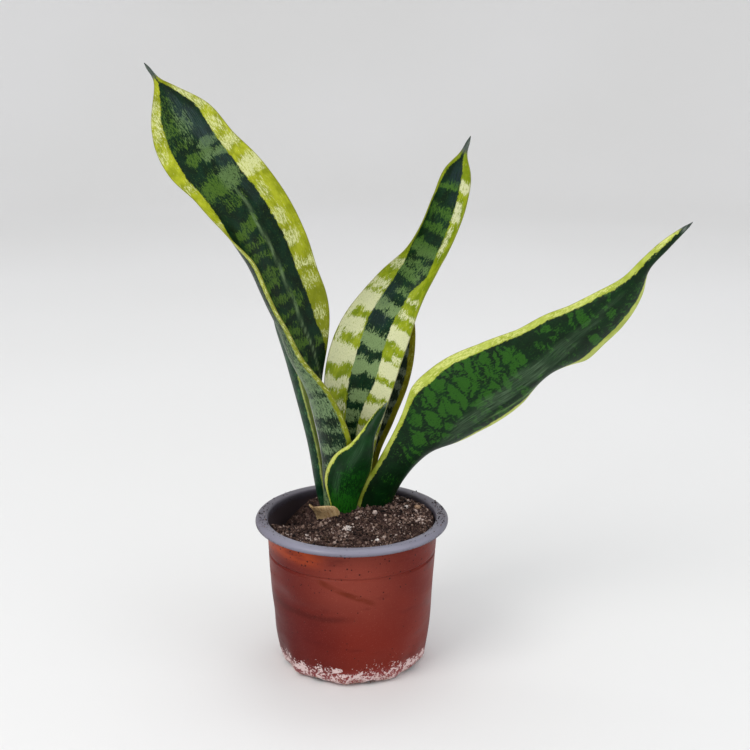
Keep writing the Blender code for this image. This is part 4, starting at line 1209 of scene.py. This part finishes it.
# ------------------------ leaf_front_sheath
# The short outer leaf that wraps the foot of the others in front: bright green low down, dark above, light margin.
# It is the youngest blade and ends in a short spine.
FRONT = [
    (-3, -9.5, 0.6, 5, 5, 178, 45, 45, 2.1),
    (-3.5, -11.5, 22.5, 6.2, 7.4, 178, 62, 38, 2.1),
    (-2, -13, 36, 9.6, 11.6, 178, 62, 28, 1.9),
    (0, -14.5, 43.5, 10.3, 10.8, 178, 64, 24, 1.8),
    (4.5, -15.5, 52, 6.4, 6.9, 178, 60, 26, 1.6),
    (8, -14.5, 59.5, 3, 4.6, 178, 60, 45, 1.4),
    (11.5, -12, 66.5, 2.2, 2.8, 178, 60, 60, 1.2),
    (16, -9.5, 74, 0.5, 0.5, 178, 60, 60, 0.6),
]
front_look = {
    "left": [(0, 0.93), (60, 0.92), (76, 0.9)],
    "right": [(0, 0.88), (36, 0.86), (44, 0.84), (54, 0.76), (62, 0.72), (76, 0.8)],
    "bands": [(14, 14, 0, 1, 0.62), (24, 7, 0, 0.6, 0.66), (36, 8, -0.2, 0.5, 0.42)],
    "pales": [(50, 30, 0.95, 0.1, 0.55)],
    # painted sheen: faint reflections on the sheath
    "sheens": [(36, 6, 0.45, 0.1, 0.3), (50, 6, 0.2, 0.15, 0.25)],
}
leaf_front_green = leaf_finish(
    "leaf_front_green", dark=(4, 40, 10), dark_cool=(6, 52, 14), mid=(26, 90, 15), grey=(112, 150, 90),
    lime=(196, 206, 88), lime_deep=(166, 180, 50), cream=(208, 212, 120), sheen=(96, 128, 100), seed=53.0,
)
make_leaf(
    "snake_leaf_front", "leaf_front_sheath", FRONT, front_look, front_look, leaf_front_green,
    ripple=0.22, seed=6.0, spine=3.0,
)

# ------------------------ dry sheath
# A dead scale leaf at the foot of the plant, dried to tan paper, crinkled and arched, with its lower edge in the
# mix. It has veins and stains and no bands.
DRY = [
    (-13, -11, 11, 6, 6, 140, 50, 50, 0.7),
    (-13.5, -12, 17, 8.5, 8.5, 140, 52, 52, 0.7),
    (-14.5, -13, 20.5, 9.5, 9, 142, 50, 50, 0.7),
    (-16, -14.5, 23, 7.5, 7, 145, 45, 45, 0.7),
    (-17.5, -16, 24.8, 3.5, 3.5, 148, 40, 40, 0.6),
]
papery = Finish("dry_sheath_papery", Roughness=0.75, Specular_IOR_Level=0.3)
grid = papery.parts("mm")
veins = grown(papery, grid, 2.4, 0.25, 4.0, 0.65)
stain = grown(papery, grid, 0.3, 0.3, roughness=0.55)
papery.tone = papery.mix(papery.step(stain, 0.35, 0.65), shade(198, 164, 112), shade(150, 112, 70))
papery.coat(papery.step(veins, 0.35, 0.70, 0.0, 0.7), 226, 204, 160)
papery.wear()
papery.bump(veins, 0.0004, 0.9)
dry_look = {
    "left": [(0, 1), (20, 1)],
    "right": [(0, 1), (20, 1)],
}
make_leaf(
    "dry_papery_sheath", "dry_sheath", DRY, dry_look, dry_look, papery, ripple=0.35, seed=7.0,
)
